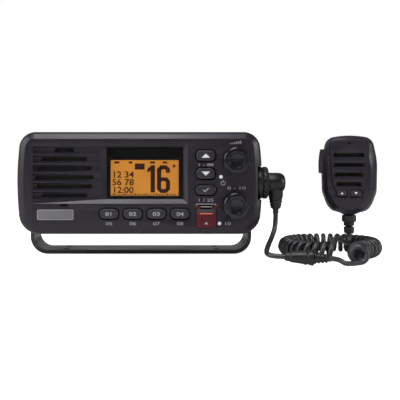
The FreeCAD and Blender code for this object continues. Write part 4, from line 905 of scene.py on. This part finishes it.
# %% Ticks and icons
TICKS = 24
TICKS_LEFT = -19.6
TICK_PITCH = 1.95
TICK_WIDTH = 1.3
for tick in range(TICKS):
    left = TICKS_LEFT + tick * TICK_PITCH
    top = 47.9 + 0.5 * (tick % 4 == 0)
    lcd_mark(f"tick_{tick}", rounded_box(left, left + TICK_WIDTH, 47.2, top, 0.1, 2))
ICONS = [(-18.6, 3.9), (-8.0, 2.8), (7.4, 3.8), (16.8, 3.4)]
for index, (left, length) in enumerate(ICONS):
    lcd_mark(f"icon_{index}", rounded_box(left, left + length, 70.2, 71.7, 0.4, 3))
lcd_mark("level_box", rounded_box(-3.6, 3.6, 65.8, 70.2, 0.4, 3))
STAR_X = 25.0
STAR_Z = 68.3
STAR_REACH = (1.7, 0.75)
star = []
for point in range(10):
    reach = STAR_REACH[point % 2]
    angle = math.pi / 2 + math.pi * point / 5
    star.append((STAR_X + reach * math.cos(angle), STAR_Z + reach * math.sin(angle)))
lcd_mark("signal_star", star)
print("ticks", TICKS, "icons", len(ICONS))

# %% [markdown]
# The name plate stays bare. Stamped plates have a thin bright rim where the turned-up metal catches the
# light, and a flat pale ring just inside the plate's edge is a painted highlight for that line of light. Its
# two outlines come from the plate's own box, so that the highlight fits wherever the plate is.

# %% Painted rim highlight
low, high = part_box("name_plate")
plate_y = low.y / MM
low = low / MM
high = high / MM
RIM_EDGES = ((0.2, 1.0), (0.5, 0.8))
rim = [rounded_box(low.x + inset, high.x - inset, low.z + inset, high.z - inset, radius)
       for inset, radius in RIM_EDGES]
# A pale grey ring as a painted highlight: the light on the plate's turned-up edge.
PAINTED_RIM_HIGHLIGHT = finish("painted plate rim highlight", (0.32, 0.315, 0.33), (0.38, 0.375, 0.39), 0.35)
flat_mark("name_plate_painted_highlight", rim, on_face(plate_y), PAINTED_RIM_HIGHLIGHT)
print("plate front at", round(plate_y, 2), "mm")

# %% [markdown]
# The red flap over the distress key carries an arrow that shows which way it lifts. Above its shoulder, on
# the face that slopes back to the hinge, lie a dark band of painted shade, where the sloping face lies in
# shadow, and an orange line of painted highlight, where the edge of the shoulder catches the light. Those
# are drawn flat like all marks and then leaned back point by point, since a turned plate would cut through
# the shoulder. A pale bracket printed on the panel closes the flap off at the top.

# %% Flap arrow, painted shade and painted highlight
flap = centre_of("distress_cover")
flap_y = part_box("distress_cover")[0].y / MM
flat_mark("flap_arrow", [arrow(flap.x, 27.4, 1.4, 1.8)], on_face(flap_y), INK_LIGHT, "cover")
FLAP_SHOULDER_Z = 33.6
FLAP_SLOPE = 0.45
FLAP_HALF_WIDTH = 7.1
# Orange for the painted highlight where the flap's shoulder catches the light.
PAINTED_HIGHLIGHT_ORANGE = finish("painted orange highlight", (0.62, 0.14, 0.05), (0.74, 0.18, 0.06), 0.4)


def lean_back(obj):
    """Leans the part of a flap's mark that lies above the shoulder onto the sloping face."""
    for vertex in obj.data.vertices:
        vertex.co.y += max(0.0, vertex.co.z - FLAP_SHOULDER_Z * MM) * FLAP_SLOPE


# Two painted bands on the flap: a dark painted shade on the sloping face and an orange painted highlight
# along the shoulder.
for name, inset, bottom, top, ink in (("flap_painted_shade", 0.8, 35.0, 37.3, PRINT_AND_SHADE_BLACK),
                                      ("flap_painted_highlight", 2.4, 33.8, 34.5, PAINTED_HIGHLIGHT_ORANGE)):
    half = FLAP_HALF_WIDTH - inset
    outline = rounded_box(flap.x - half, flap.x + half, bottom, top, 0.2, 3)
    lean_back(flat_mark(name, [outline], on_face(flap_y), ink, "cover"))
BRACKET = [(-7.2, 39.9), (-6.6, 39.9), (-6.6, 40.7), (6.6, 40.7), (6.6, 39.9), (7.2, 39.9), (7.2, 41.2),
           (-7.2, 41.2)]
panel_mark("cover_bracket", [[(flap.x + x, z) for x, z in BRACKET]], INK_LIGHT)
print("flap front at", round(flap_y, 2), "mm")

# %% [markdown]
# The microphone's two keys carry an up and a down arrow. The microphone stands a little turned on the
# table. Working out each corner of an arrow there would be awkward, so the arrows are drawn as if the
# microphone stood straight at the origin, and are then turned and moved as it is.

# %% Microphone marks
MIC_PLACE = Vector((MIC_X, MIC_Y, 0)) * MM


def turn_with_mic(obj):
    """Turns a mark from the microphone's own frame into its place on the table."""
    only(obj)
    obj.rotation_euler = (0, 0, MIC_YAW)
    obj.location = MIC_PLACE
    bpy.ops.object.transform_apply(location=True, rotation=True, scale=True)


MIC_KEY_FRONT = -13.8
MIC_KEY_X = 5.0
MIC_KEY_Z = 48.3
MIC_ARROW_HALF_WIDTH = 1.15
MIC_ARROW_HEIGHT = 1.6
for node, side in (("mic_up_key", -1), ("mic_down_key", 1)):
    mark = arrow(MIC_KEY_X * side, MIC_KEY_Z, MIC_ARROW_HALF_WIDTH, -MIC_ARROW_HEIGHT * side)
    obj = flat_mark(node + "_arrow", [mark], on_face(MIC_KEY_FRONT), INK_WHITE, node_body[node])
    turn_with_mic(obj)
for node in ("mic_up_key", "mic_down_key"):
    print(node, "middle", [round(value, 1) for value in centre_of(node)])

# %% [markdown]
# The photograph's background is pure white. Strong lamps would get the sheet there, but would bleach the
# radio with it. So only the camera sees the sheet and the world glow: a Light Path node tells its rays from
# those that light the object, which find a plain sheet and a dim world. The sheet keeps the object's
# shadow.

# %% Sheet and world
SHEET_SIZE = 6.0
SHEET_HEIGHT = -0.0003
SHEET_WHITE = 0.8
SHEET_ROUGHNESS = 0.9
PAPER_GLOW = 0.95
WORLD_LIGHT = 0.13


def seen_directly(tree, rays):
    """1 for rays of the named kinds, 0 for the others."""
    paths = tree.nodes.new("ShaderNodeLightPath")
    total = None
    for ray in rays:
        if total is None:
            total = paths.outputs[ray]
            continue
        either = tree.nodes.new("ShaderNodeMath")
        either.operation = "MAXIMUM"
        tree.links.new(total, either.inputs[0])
        tree.links.new(paths.outputs[ray], either.inputs[1])
        total = either.outputs[0]
    return total


bpy.ops.mesh.primitive_plane_add(size=SHEET_SIZE, location=(0, 0, SHEET_HEIGHT))
floor = bpy.context.object
floor.name = "paper_sheet"
paper = bpy.data.materials.new("white paper")
paper.use_nodes = True
paper_shader = paper.node_tree.nodes["Principled BSDF"]
paper_shader.inputs["Base Color"].default_value = (SHEET_WHITE, SHEET_WHITE, SHEET_WHITE, 1)
paper_shader.inputs["Roughness"].default_value = SHEET_ROUGHNESS
paper_shader.inputs["Emission Color"].default_value = (1, 1, 1, 1)
glow = paper.node_tree.nodes.new("ShaderNodeMath")
glow.operation = "MULTIPLY"
glow.inputs[1].default_value = PAPER_GLOW
paper.node_tree.links.new(seen_directly(paper.node_tree, ["Is Camera Ray"]), glow.inputs[0])
paper.node_tree.links.new(glow.outputs[0], paper_shader.inputs["Emission Strength"])
floor.data.materials.append(paper)

world = bpy.data.worlds.new("studio")
world.use_nodes = True
bpy.context.scene.world = world
background = world.node_tree.nodes["Background"]
background.inputs["Color"].default_value = (1, 1, 1, 1)
strength = world.node_tree.nodes.new("ShaderNodeMapRange")
strength.inputs["To Min"].default_value = WORLD_LIGHT
strength.inputs["To Max"].default_value = 1.0
direct = seen_directly(world.node_tree, ["Is Camera Ray", "Is Transmission Ray"])
world.node_tree.links.new(direct, strength.inputs["Value"])
world.node_tree.links.new(strength.outputs["Result"], background.inputs["Strength"])
print("sheet glow", PAPER_GLOW, "world light", WORLD_LIGHT)

# %% [markdown]
# Dark, satin plastic shows its lamps more than its colour. One large lamp by the camera would be reflected
# by the flat panel and turn it grey, so none stands there. One high in front and one overhead brighten the
# top bevel and the keys' upper edges, a broad one from the left and a smaller one from the right draw the
# side bevels, and a faint one low behind lifts the bracket's base. Their powers are low enough for a colour
# to render about as it is written.

# %% Lights
AIM = Vector((0.03, -0.03, 0.05))
LAMPS = {
    "front_top": ((-0.10, -0.62, 1.0), 0.45, 5.4),
    "overhead": ((-0.15, -0.10, 1.05), 0.6, 3.8),
    "left_side": ((-0.95, -0.40, 0.5), 0.8, 7.0),
    "right_side": ((1.0, -0.50, 0.35), 0.4, 4.0),
    "rear_low": ((0.0, 1.0, 0.35), 0.5, 0.3),
}


def soft_box(name, place, size, power):
    """Square area light that looks at the radio; lengths in metres, power in watts."""
    bpy.ops.object.light_add(type="AREA", location=place)
    lamp = bpy.context.object
    lamp.name = name
    lamp.data.shape = "SQUARE"
    lamp.data.size = size
    lamp.data.energy = power
    lamp.rotation_euler = (AIM - Vector(place)).to_track_quat("-Z", "Y").to_euler()


for name, (place, size, power) in LAMPS.items():
    soft_box(name, place, size, power)
    print(name, power, "W")
